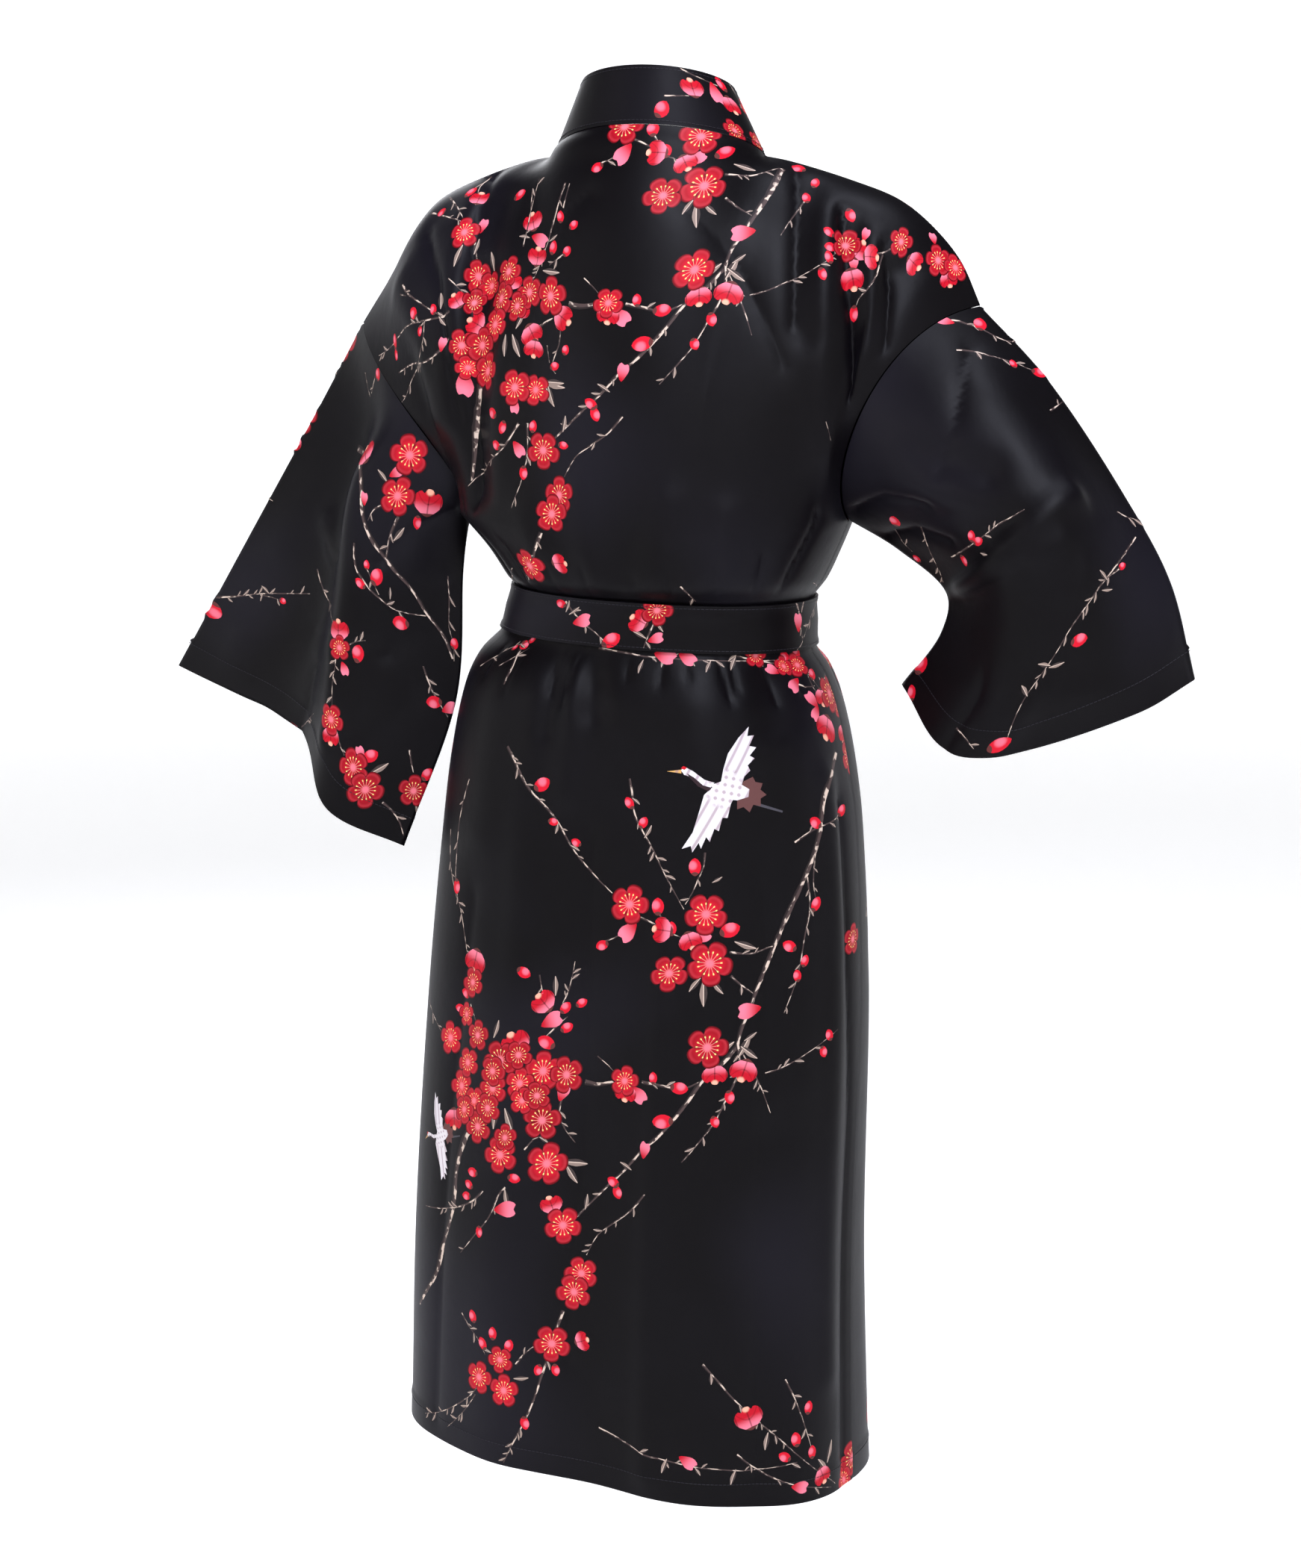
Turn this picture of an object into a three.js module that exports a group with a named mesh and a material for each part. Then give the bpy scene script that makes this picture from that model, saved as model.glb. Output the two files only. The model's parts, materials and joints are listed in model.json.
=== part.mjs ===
// Happi coat of thin printed cotton, as it hangs on a standing wearer with the belt tied.
// Millimetres, +Z up, +X to the wearer's left, +Y to the wearer's back. The origin is the middle
// of the neck opening, level with the seam of the neckband at the middle of the back.
import * as THREE from 'three';
import { mergeVertices } from 'three/addons/utils/BufferGeometryUtils.js';

// Cloth and seams
const clothThickness = 1.2;
const bandThickness = 2.4; // the neckband is a folded double strip
const bandWidth = 50;
const bandRise = 0.6; // how far the band stands proud of the cloth beside it
const beltThickness = 2.2;
const seamGap = 0.3;
const armholeGap = 0.5;
const bandGap = 1.2;
const frontOverlapGap = 5; // the right front lies this far inside the left one

// Heights of the main lines
const underarmHeight = -310;
const beltTopHeight = -369;
const beltBottomHeight = -407;
const beltMiddleHeight = (beltTopHeight + beltBottomHeight) / 2;
const hemHeight = -1087;

// Rounds of the body, a row for each height. A round is a superellipse.
const bodyRounds = [
  { height: underarmHeight, half: 161, middle: 4, back: 112, front: 112, power: 2.3, tilt: 0, turn: 0 },
  { height: -335, half: 143, middle: -3, back: 112, front: 112, power: 2.3, tilt: 0, turn: 0 },
  { height: -360, half: 128, middle: -6, back: 107, front: 107, power: 2.3, tilt: 0, turn: 0 },
  { height: beltTopHeight, half: 122, middle: -3, back: 95, front: 95, power: 2.2, tilt: 0.03, turn: 0 },
  { height: beltMiddleHeight, half: 124.5, middle: -0.5, back: 95, front: 95, power: 2.2, tilt: 0.035, turn: 0 },
  { height: beltBottomHeight, half: 128, middle: 2, back: 95, front: 95, power: 2.2, tilt: 0.04, turn: 0 },
  { height: -425, half: 143, middle: 6, back: 103, front: 103, power: 2.2, tilt: 0.03, turn: 0 },
  { height: -450, half: 154, middle: 7, back: 112, front: 110, power: 2.3, tilt: 0.02, turn: 0 },
  { height: -500, half: 165, middle: 7, back: 118, front: 112, power: 2.4, tilt: 0, turn: 0 },
  { height: -560, half: 173, middle: 7, back: 122, front: 114, power: 2.4, tilt: 0, turn: 0 },
  { height: -700, half: 183, middle: 11, back: 124, front: 118, power: 2.5, tilt: 0, turn: 1 },
  { height: -900, half: 189, middle: 19, back: 127, front: 124, power: 2.6, tilt: 0.03, turn: 4 },
  { height: hemHeight, half: 195, middle: 19, back: 130, front: 130, power: 2.7, tilt: 0.06, turn: 7 },
];

// Heights of the rows of cloth between the underarm and the hem
const skirtHeights = [underarmHeight, -322, -335, -348, -360, beltTopHeight, beltMiddleHeight, beltBottomHeight, -415, -425,
  -438, -455, -480, -515, -560, -615, -675, -740, -810, -880, -950, -1020, hemHeight];
const chestRows = 12; // rows of cloth between the underarm and the shoulder
const neckColumns = 10; // columns of cloth along the back of the neck
const frontColumns = 12; // columns of cloth along one shoulder
const backColumns = neckColumns + 2 * frontColumns;

// Top of the shoulders, from the neck to the head of the sleeve
const leftShoulder = [[86, 2, -24], [107, 2, -27], [149, 1, -40], [186, 0, -57], [205, -2, -75], [231, -8, -113],
  [263, -12, -159]];
const rightShoulder = [[-86, 2, -24], [-107, 2, -28], [-158, 1, -43], [-196, 0, -58], [-224, 0, -80],
  [-245, 0, -105], [-261, 0, -139]];

// How each upright line of cloth leaves the underarm (rise) and reaches the shoulder (fall), by its
// place from the middle, 0, to the armhole, 1
const backLines = [
  { place: 0, rise: [0, 8, 110], fall: [0, 40, -50] },
  { place: 0.3, rise: [0, 8, 110], fall: [12, 62, -12] },
  { place: 0.75, rise: [0, 14, 95], fall: [0, 74, -24] },
  { place: 1, rise: [-15, 55, 40], fall: [-29, 70, -42] },
];
const frontLines = [
  { place: 0, rise: [0, -6, 110], fall: [0, -62, -60] },
  { place: 0.35, rise: [0, -8, 110], fall: [0, -66, -30] },
  { place: 0.75, rise: [0, -12, 95], fall: [0, -66, -26] },
  { place: 1, rise: [-15, -50, 40], fall: [-29, -62, -42] },
];
const rightArmLines = { rise: [7, 70, 40], fall: [61, 80, -10] };

// Seam and free edge of the neckband on the left front, from the neck down to the underarm
const neckEdge = [
  { seam: [86, 2, -24], free: [62, 5, 27] },
  { seam: [84, -36, -50], free: [52, -37, -9] },
  { seam: [72, -72, -98], free: [35, -76, -64] },
  { seam: [52, -98, -160], free: [10, -103, -134] },
  { seam: [26, -113, -228], free: [-20, -113, -208] },
  { seam: [2, -114, -282], free: [-45, -114, -264] },
];
// Distance of the seam of the band past the middle of the front, below the underarm
const frontEdge = [
  { height: underarmHeight, past: 10 },
  { height: beltMiddleHeight, past: 32 },
  { height: -500, past: 52 },
  { height: -700, past: 66 },
  { height: hemHeight, past: 80 },
];

// Neckband at the back of the neck: a quarter turn runs from the middle to the shoulder
const neckHalfWidth = 86;
const neckDepth = 60;
const neckDrop = 24;
const bandTopHalfWidth = 62;
const bandTopDepth = 48;
const bandTopHeight = 45;
const bandTopDrop = 18;

// Sleeves: a row for each round from the armhole to the cuff. The back layer runs from the top fold
// to the bottom fold through its points, and the front layer runs back.
const leftSleeve = [
  { along: 0.33, top: [309, -21, -230], back: [[262, -4, -262], [245, 46, -285]], bottom: [168, 7, -360],
    front: [[225, -52, -320], [275, -50, -265]] },
  { along: 0.67, top: [386, -40, -345], back: [[300, -5, -398], [264, 47, -410]], bottom: [173, 12, -465],
    front: [[235, -58, -450], [320, -62, -400]] },
  { along: 1, top: [463, -60, -460], back: [[322, -2, -502], [276, 47, -560]], bottom: [219, 20, -592],
    front: [[262, -56, -570], [365, -80, -510]] },
];
const rightSleeve = [
  { along: 0.3, top: [-316, 10, -193], back: [[-286, 62, -212], [-240, 76, -275]], bottom: [-200, 8, -332],
    front: [[-235, -46, -290], [-290, -40, -215]] },
  { along: 0.6, top: [-381, 24, -280], back: [[-350, 80, -290], [-304, 88, -325]], bottom: [-242, 22, -364],
    front: [[-270, -42, -345], [-345, -36, -295]] },
  { along: 0.8, top: [-421, 36, -345], back: [[-380, 72, -372], [-310, 80, -405]], bottom: [-238, 22, -392],
    front: [[-270, -46, -400], [-380, -30, -365]] },
  { along: 1, top: [-444, 50, -417], back: [[-400, 57, -445], [-262, 62, -484]], bottom: [-203, 6, -438],
    front: [[-262, -50, -452], [-380, -16, -430]] },
];
const sleeveRounds = 14; // rows of cloth from the armhole to the cuff

const { clamp, lerp, smoothstep, degToRad } = THREE.MathUtils;
const vector = (list) => new THREE.Vector3(...list);

// Value of a column of a table at a place, along a smooth curve through its rows
function readTable(table, key, place, column) {
  const last = table.length - 1;
  let row = 0;
  const rising = table[last][key] > table[0][key];
  const before = (value) => (rising ? value <= place : value >= place);
  while (row < last - 1 && before(table[row + 1][key])) row += 1;
  const slope = (i) => {
    const low = table[Math.max(i - 1, 0)];
    const high = table[Math.min(i + 1, last)];
    return (high[column] - low[column]) / (high[key] - low[key]);
  };
  const step = table[row + 1][key] - table[row][key];
  const t = clamp((place - table[row][key]) / step, 0, 1);
  const t2 = t * t;
  const t3 = t2 * t;
  return (2 * t3 - 3 * t2 + 1) * table[row][column] + (t3 - 2 * t2 + t) * step * slope(row)
    + (3 * t2 - 2 * t3) * table[row + 1][column] + (t3 - t2) * step * slope(row + 1);
}

// Offsets in a table of lines, between its rows
function readLine(table, place, column) {
  let row = 0;
  while (row < table.length - 2 && table[row + 1].place <= place) row += 1;
  const share = smoothstep(place, table[row].place, table[row + 1].place);
  return vector(table[row][column]).lerp(vector(table[row + 1][column]), share);
}

// Point of a round of the body. The angle is 0 at the middle of the back and 90 at the left side.
function roundPoint(height, angle) {
  const read = (column) => readTable(bodyRounds, 'height', height, column);
  const sine = Math.sin(degToRad(angle));
  const cosine = Math.cos(degToRad(angle));
  const bend = 2 / read('power');
  const depth = cosine > 0 ? read('back') : read('front');
  const across = read('half') * Math.sign(sine) * Math.abs(sine) ** bend;
  const away = depth * Math.sign(cosine) * Math.abs(cosine) ** bend;
  const turn = degToRad(read('turn'));
  const x = read('middle') + across * Math.cos(turn) + away * Math.sin(turn);
  const y = away * Math.cos(turn) - across * Math.sin(turn);
  return new THREE.Vector3(x, y, height + read('tilt') * across);
}

// Points at equal steps along a round, between two angles
function roundRow(height, fromAngle, toAngle, steps) {
  const points = [];
  const fine = 180;
  for (let i = 0; i <= fine; i += 1) points.push(roundPoint(height, lerp(fromAngle, toAngle, i / fine)));
  return evenPoints(points, steps);
}

// Points at equal steps along a line through many points
function evenPoints(points, steps) {
  const lengths = [0];
  for (let i = 1; i < points.length; i += 1) lengths.push(lengths[i - 1] + points[i].distanceTo(points[i - 1]));
  const total = lengths[lengths.length - 1];
  const result = [];
  let place = 0;
  for (let i = 0; i <= steps; i += 1) {
    const goal = (total * i) / steps;
    while (place < points.length - 2 && lengths[place + 1] < goal) place += 1;
    const share = (goal - lengths[place]) / (lengths[place + 1] - lengths[place]);
    result.push(points[place].clone().lerp(points[place + 1], share));
  }
  return result;
}

const smoothCurve = (lists) => new THREE.CatmullRomCurve3(lists.map(vector), false, 'centripetal');

function bezier(a, b, c, d, t) {
  return new THREE.CubicBezierCurve3(a, b, c, d).getPoint(t);
}

// Angle on the front of a round where the band's seam or free edge of a front runs.
// side is 1 for the left front, whose edge lies past the middle on the right, and -1 for the other.
function edgeAngle(height, side, width) {
  const past = readTable(frontEdge, 'height', height, 'past') + width;
  const half = readTable(bodyRounds, 'height', height, 'half');
  const power = readTable(bodyRounds, 'height', height, 'power');
  return side * (180 + THREE.MathUtils.radToDeg(Math.asin((past / half) ** (power / 2))));
}

// How far the right front lies inside the left one, growing from its side seam
function tuckIn(point) {
  const half = readTable(bodyRounds, 'height', Math.min(point.z, underarmHeight), 'half');
  const middle = readTable(bodyRounds, 'height', Math.min(point.z, underarmHeight), 'middle');
  const across = smoothstep((point.x - middle) / half, -0.95, -0.72);
  const down = 1 - smoothstep(point.z, -140, -60);
  return frontOverlapGap * across * down;
}

function tucked(point) {
  const inward = new THREE.Vector3(-point.x * 0.6, -point.y, 0).normalize();
  return point.clone().addScaledVector(inward, tuckIn(point));
}

// Points along the top of one shoulder, from the neck to the head of the sleeve
function shoulderRow(side) {
  return evenPoints(smoothCurve(side > 0 ? leftShoulder : rightShoulder).getPoints(80), frontColumns);
}

// Rows of cloth of the back, from the shoulders to the hem. A row runs from right to left.
function backRows() {
  const bottom = roundRow(underarmHeight, -90, 90, backColumns);
  const half = backColumns / 2;
  const neckSteps = neckColumns / 2;
  const shoulder = { '-1': shoulderRow(-1), 1: shoulderRow(1) };
  const top = [];
  for (let i = -half; i <= half; i += 1) {
    const outside = Math.abs(i) - neckSteps;
    if (outside > 0) top.push(shoulder[Math.sign(i)][outside]);
    else top.push(neckPoint((90 * i) / neckSteps));
  }
  const rows = [];
  for (let row = 0; row <= chestRows; row += 1) {
    rows.push(bottom.map((low, i) => {
      const place = Math.abs(i - half) / half;
      const side = Math.sign(i - half);
      const right = side < 0 ? smoothstep(place, 0.6, 1) : 0;
      const mirror = new THREE.Vector3(side < 0 ? -1 : 1, 1, 1);
      const rise = readLine(backLines, place, 'rise').multiply(mirror).lerp(vector(rightArmLines.rise), right);
      const fall = readLine(backLines, place, 'fall').multiply(mirror).lerp(vector(rightArmLines.fall), right);
      return bezier(top[i], top[i].clone().add(fall), low.clone().add(rise), low, row / chestRows);
    }));
  }
  for (const height of skirtHeights.slice(1)) rows.push(roundRow(height, -90, 90, backColumns));
  return rows;
}

// Point of the neck seam at the back. The angle is 0 at the middle and 90 at the left shoulder.
function neckPoint(angle) {
  const across = Math.sin(degToRad(angle));
  const away = Math.cos(degToRad(angle));
  return new THREE.Vector3(neckHalfWidth * across, 2 + neckDepth * away ** 1.4, -neckDrop * (1 - away));
}

function bandTopPoint(angle) {
  const across = Math.sin(degToRad(angle));
  const away = Math.cos(degToRad(angle));
  return new THREE.Vector3(bandTopHalfWidth * across, 5 + bandTopDepth * away,
    bandTopHeight - bandTopDrop * (1 - away));
}

// Rows of cloth of one front, from the shoulder to the hem. A row runs from the side to the band.
function frontRows(side) {
  const top = shoulderRow(side).reverse();
  const seam = bandLine(side, 'seam');
  const bottom = roundRow(underarmHeight, side * 90, edgeAngle(underarmHeight, side, 0), frontColumns);
  const rows = [];
  for (let row = 0; row <= chestRows; row += 1) {
    const line = bottom.map((low, i) => {
      const place = 1 - i / frontColumns;
      const right = side < 0 ? smoothstep(place, 0.6, 1) : 0;
      const mirror = new THREE.Vector3(side, 1, 1);
      const flip = new THREE.Vector3(1, -1, 1);
      const armRise = vector(rightArmLines.rise).multiply(flip);
      const armFall = vector(rightArmLines.fall).multiply(flip);
      const rise = readLine(frontLines, place, 'rise').multiply(mirror).lerp(armRise, right);
      const fall = readLine(frontLines, place, 'fall').multiply(mirror).lerp(armFall, right);
      return bezier(top[i], top[i].clone().add(fall), low.clone().add(rise), low, row / chestRows);
    });
    const miss = seam[row].clone().sub(line[frontColumns]);
    line.forEach((point, i) => point.addScaledVector(miss, smoothstep(i / frontColumns, 0.2, 1)));
    rows.push(line);
  }
  for (const height of skirtHeights.slice(1)) {
    rows.push(roundRow(height, side * 90, edgeAngle(height, side, 0), frontColumns));
  }
  return side > 0 ? rows : rows.map((line) => line.map(tucked));
}

// Line of the band's seam or free edge down one front as far as the underarm
function bandLine(side, column) {
  const lists = neckEdge.map((entry) => [side * entry[column][0], entry[column][1], entry[column][2]]);
  const width = column === 'seam' ? 0 : bandWidth;
  const end = roundPoint(underarmHeight, edgeAngle(underarmHeight, side, width));
  lists.push(end.toArray());
  return evenPoints(smoothCurve(lists).getPoints(120), chestRows);
}

// Rows of the neckband: seam, middle and free edge, from the hem of the right front, round the
// back of the neck, to the hem of the left front. The seam keeps to the edge of the fronts.
function bandRows() {
  const down = (side) => {
    const edge = side > 0 ? panels.front_left : panels.front_right;
    const seam = bandLine(side, 'seam');
    const free = bandLine(side, 'free');
    const bow = roundPoint(underarmHeight, edgeAngle(underarmHeight, side, bandWidth / 2));
    bow.sub(seam[chestRows].clone().lerp(free[chestRows], 0.5));
    const middle = seam.map((point, i) => {
      return point.clone().lerp(free[i], 0.5).addScaledVector(bow, smoothstep(i, 0, chestRows));
    });
    for (const height of skirtHeights.slice(1)) {
      middle.push(roundPoint(height, edgeAngle(height, side, bandWidth / 2)));
      free.push(roundPoint(height, edgeAngle(height, side, bandWidth)));
    }
    const placed = (point, i) => {
      const place = side > 0 ? point : tucked(point);
      const inward = new THREE.Vector3(-place.x * 0.6, -place.y, 0).normalize();
      const depth = foldDepth(frontFolds, place) * freeOfBelt(place.z) * awayFrom(i, 2);
      return place.clone().addScaledVector(inward, depth);
    };
    return edge.map((line, i) => [line[frontColumns], placed(middle[i], i), placed(free[i], i)]);
  };
  const rows = down(-1).reverse();
  for (let i = 1; i < neckColumns; i += 1) {
    const angle = lerp(-90, 90, i / neckColumns);
    const seam = neckPoint(angle);
    const free = bandTopPoint(angle);
    rows.push([seam, seam.clone().lerp(free, 0.5), free]);
  }
  return rows.concat(down(1));
}

// Rounds of one sleeve, from the armhole to the cuff
function sleeveRows(side, armhole) {
  const table = side > 0 ? leftSleeve : rightSleeve;
  const half = (armhole.length - 1) / 2;
  const round = (entry) => {
    const back = smoothCurve([entry.top, ...entry.back, entry.bottom]).getPoints(60);
    const front = smoothCurve([entry.bottom, ...entry.front, entry.top]).getPoints(60);
    return evenPoints(back, half).concat(evenPoints(front, half).slice(1));
  };
  const rounds = [armhole, ...table.map(round)];
  const knots = [0, ...table.map((entry) => entry.along)];
  const lines = armhole.map((_, i) => {
    const curve = new THREE.CatmullRomCurve3(rounds.map((points) => points[i]), false, 'centripetal');
    return (along) => {
      let place = 0;
      while (place < knots.length - 2 && knots[place + 1] <= along) place += 1;
      const share = (along - knots[place]) / (knots[place + 1] - knots[place]);
      return curve.getPoint((place + share) / (knots.length - 1));
    };
  });
  const rows = [];
  for (let row = 0; row <= sleeveRounds; row += 1) {
    const along = row === 0 ? 0 : row / sleeveRounds;
    rows.push(lines.map((line) => line(along)));
  }
  rows[0] = rows[0].map((point, i) => point.clone().lerp(rows[1][i], armholeGap / point.distanceTo(rows[1][i])));
  return rows;
}

// Outward direction at each point of rows of cloth
function rowNormals(rows, closed, out) {
  const count = rows[0].length;
  return rows.map((line, r) => line.map((_, c) => {
    const above = rows[Math.max(r - 1, 0)][c];
    const below = rows[Math.min(r + 1, rows.length - 1)][c];
    const left = closed ? line[(c - 1 + count) % count] : line[Math.max(c - 1, 0)];
    const right = closed ? line[(c + 1) % count] : line[Math.min(c + 1, count - 1)];
    const across = right.clone().sub(left);
    const down = below.clone().sub(above);
    return across.cross(down).multiplyScalar(out).normalize();
  }));
}

// Closed wall of cloth: rows of outer points, and the same points moved in by the thickness
function wall(rows, normals, thickness, closed) {
  const count = rows[0].length;
  const last = rows.length - 1;
  const inner = rows.map((line, r) => line.map((point, c) => {
    return point.clone().addScaledVector(normals[r][c], -thickness);
  }));
  const positions = [];
  for (const layer of [rows, inner]) for (const line of layer) for (const point of line) positions.push(...point);
  const size = rows.length * count;
  const outerAt = (r, c) => r * count + (c % count);
  const innerAt = (r, c) => size + outerAt(r, c);
  const faces = [];
  const quad = (a, b, c, d) => faces.push(a, b, c, a, c, d);
  const across = closed ? count : count - 1;
  for (let r = 0; r < last; r += 1) {
    for (let c = 0; c < across; c += 1) {
      quad(outerAt(r, c), outerAt(r + 1, c), outerAt(r + 1, c + 1), outerAt(r, c + 1));
      quad(innerAt(r, c), innerAt(r, c + 1), innerAt(r + 1, c + 1), innerAt(r + 1, c));
    }
  }
  for (let c = 0; c < across; c += 1) {
    quad(outerAt(0, c), outerAt(0, c + 1), innerAt(0, c + 1), innerAt(0, c));
    quad(outerAt(last, c + 1), outerAt(last, c), innerAt(last, c), innerAt(last, c + 1));
  }
  for (let r = 0; r < last && !closed; r += 1) {
    quad(outerAt(r + 1, 0), outerAt(r, 0), innerAt(r, 0), innerAt(r + 1, 0));
    quad(outerAt(r, count - 1), outerAt(r + 1, count - 1), innerAt(r + 1, count - 1), innerAt(r, count - 1));
  }
  const geometry = new THREE.BufferGeometry();
  geometry.setAttribute('position', new THREE.Float32BufferAttribute(positions, 3));
  geometry.setIndex(faces);
  return outward(geometry);
}

// Turns a closed shape the right way out
function outward(geometry) {
  const at = geometry.getAttribute('position');
  const index = Array.from(geometry.getIndex().array);
  const [a, b, c] = [new THREE.Vector3(), new THREE.Vector3(), new THREE.Vector3()];
  let volume = 0;
  for (let i = 0; i < index.length; i += 3) {
    a.fromBufferAttribute(at, index[i]);
    b.fromBufferAttribute(at, index[i + 1]);
    c.fromBufferAttribute(at, index[i + 2]);
    volume += a.dot(b.cross(c));
  }
  if (volume < 0) {
    for (let i = 0; i < index.length; i += 3) [index[i + 1], index[i + 2]] = [index[i + 2], index[i + 1]];
    geometry.setIndex(index);
  }
  geometry.computeVertexNormals();
  return geometry;
}

// Belt, knot and hanging ends
const layerGap = 0.5;
const beltColumns = 60;
const beltEnds = [
  { name: 'belt_end_left', top: 13, bottom: 26, length: 262 },
  { name: 'belt_end_right', top: -13, bottom: -22, length: 240 },
];
const endWidth = 38;
const endTopWidth = 24;
const knot = { across: 50, deep: 21, high: 44 };

// Largest folds of each layer, from one place to another as [x, z], with the half width of the fold
// and its depth. A valley has a depth above 0 and a ridge one below 0.
const backFolds = [
  { from: [122, -62], to: [128, -125], width: 15, depth: 6 },
  { from: [129, -125], to: [133, -285], width: 17, depth: 11 },
  { from: [150, -80], to: [158, -230], width: 16, depth: -4 },
  { from: [-172, -80], to: [-182, -280], width: 17, depth: 8 },
  { from: [-205, -115], to: [-190, -270], width: 18, depth: 7 },
  { from: [-130, -48], to: [-141, -160], width: 14, depth: 3.5 },
  { from: [-152, -70], to: [-158, -250], width: 15, depth: -3.5 },
  { from: [-40, -290], to: [-34, -350], width: 16, depth: -4 },
  { from: [30, -285], to: [22, -350], width: 15, depth: -4 },
  { from: [78, -300], to: [66, -352], width: 15, depth: -4 },
  { from: [-86, -300], to: [-76, -352], width: 15, depth: -4 },
  { from: [-6, -325], to: [-6, -356], width: 12, depth: 3 },
  { from: [56, -416], to: [58, -470], width: 13, depth: 5 },
  { from: [24, -416], to: [20, -455], width: 13, depth: 4 },
  { from: [40, -418], to: [40, -520], width: 14, depth: -4 },
  { from: [-108, -416], to: [-118, -462], width: 14, depth: 4 },
  { from: [-60, -418], to: [-78, -540], width: 22, depth: -3 },
  { from: [96, -420], to: [118, -560], width: 22, depth: -3 },
  { from: [90, -700], to: [104, -1087], width: 34, depth: -5 },
  { from: [20, -760], to: [16, -1087], width: 34, depth: 4 },
  { from: [-60, -720], to: [-58, -1087], width: 34, depth: -4 },
  { from: [-122, -800], to: [-122, -1087], width: 30, depth: 4 },
];
const frontFolds = [
  { from: [150, -90], to: [140, -280], width: 18, depth: 8 },
  { from: [-165, -90], to: [-150, -280], width: 18, depth: 8 },
  { from: [110, -120], to: [96, -300], width: 18, depth: -4 },
  { from: [-118, -120], to: [-100, -300], width: 18, depth: -4 },
  { from: [60, -290], to: [52, -352], width: 14, depth: -4 },
  { from: [96, -300], to: [84, -352], width: 14, depth: -4 },
  { from: [-98, -300], to: [-86, -352], width: 14, depth: -4 },
  { from: [72, -416], to: [80, -490], width: 14, depth: 4 },
  { from: [-92, -416], to: [-104, -490], width: 14, depth: 4 },
  { from: [112, -430], to: [128, -600], width: 22, depth: -4 },
  { from: [-122, -430], to: [-140, -640], width: 22, depth: -4 },
  { from: [96, -700], to: [104, -1087], width: 32, depth: 5 },
  { from: [150, -760], to: [158, -1087], width: 28, depth: -4 },
  { from: [-134, -700], to: [-132, -1087], width: 30, depth: -5 },
];
const leftBackSleeveFolds = [
  { from: [205, -400], to: [262, -440], width: 14, depth: 4 },
  { from: [210, -470], to: [258, -500], width: 14, depth: 3 },
  { from: [330, -300], to: [392, -440], width: 26, depth: -3 },
  { from: [196, -300], to: [216, -380], width: 14, depth: -3 },
];
const leftFrontSleeveFolds = [
  { from: [250, -260], to: [220, -340], width: 18, depth: 5 },
  { from: [330, -330], to: [370, -470], width: 26, depth: -4 },
  { from: [240, -420], to: [290, -470], width: 18, depth: 4 },
];
const rightBackSleeveFolds = [
  { from: [-232, -250], to: [-286, -262], width: 14, depth: 4 },
  { from: [-226, -300], to: [-300, -300], width: 13, depth: 4 },
  { from: [-262, -360], to: [-345, -312], width: 12, depth: -4 },
  { from: [-268, -398], to: [-372, -372], width: 16, depth: 5 },
  { from: [-300, -450], to: [-400, -415], width: 16, depth: -3 },
];
const rightFrontSleeveFolds = [
  { from: [-236, -300], to: [-310, -250], width: 16, depth: 5 },
  { from: [-250, -370], to: [-350, -330], width: 16, depth: 5 },
];

function foldDepth(folds, point) {
  let depth = 0;
  for (const fold of folds) {
    const along = [fold.to[0] - fold.from[0], fold.to[1] - fold.from[1]];
    const offset = [point.x - fold.from[0], point.z - fold.from[1]];
    const share = (offset[0] * along[0] + offset[1] * along[1]) / (along[0] ** 2 + along[1] ** 2);
    const near = clamp(share, 0, 1);
    const distance = Math.hypot(offset[0] - along[0] * near, offset[1] - along[1] * near);
    depth += fold.depth * Math.exp(-((distance / fold.width) ** 2));
  }
  return depth;
}

// Share of a fold that is left beside the belt, where the cloth is held flat
function freeOfBelt(height) {
  const above = smoothstep(height, beltTopHeight - 4, beltTopHeight + 22);
  const below = 1 - smoothstep(height, beltBottomHeight - 26, beltBottomHeight + 4);
  return Math.max(above, below);
}

// Which way each panel's rows turn, and whether its rows close into rounds
const facing = { back: 1, front_left: 1, front_right: -1, sleeve_left: -1, sleeve_right: 1, neckband: 1 };
const isClosed = (name) => name.startsWith('sleeve');

// Rows moved in and out by the folds, and left as they are at the seams
function folded(name, rows, folds, seamAt) {
  const normals = rowNormals(rows, isClosed(name), facing[name]);
  return rows.map((line, r) => line.map((point, c) => {
    const depth = foldDepth(folds(c), point) * freeOfBelt(point.z) * seamAt(r, c);
    return point.clone().addScaledVector(normals[r][c], -depth);
  }));
}

// Rises from 0 at a seam to 1 a few rows away
const awayFrom = (steps, far) => smoothstep(steps, 0, far);

const panels = {};
panels.back = folded('back', backRows(), () => backFolds, (r, c) => {
  return awayFrom(r, 2) * awayFrom(Math.min(c, backColumns - c), 4);
});
for (const side of [1, -1]) {
  const name = side > 0 ? 'front_left' : 'front_right';
  panels[name] = folded(name, frontRows(side), () => frontFolds, (r, c) => awayFrom(r, 2) * awayFrom(c, 3));
}

// Closed line of points round an armhole, from the shoulder down the back and up the front
function armhole(side) {
  const column = side > 0 ? backColumns : 0;
  const front = side > 0 ? panels.front_left : panels.front_right;
  const down = panels.back.slice(0, chestRows + 1).map((line) => line[column]);
  const up = front.slice(0, chestRows).map((line) => line[0]);
  return down.concat(up.reverse());
}

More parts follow.
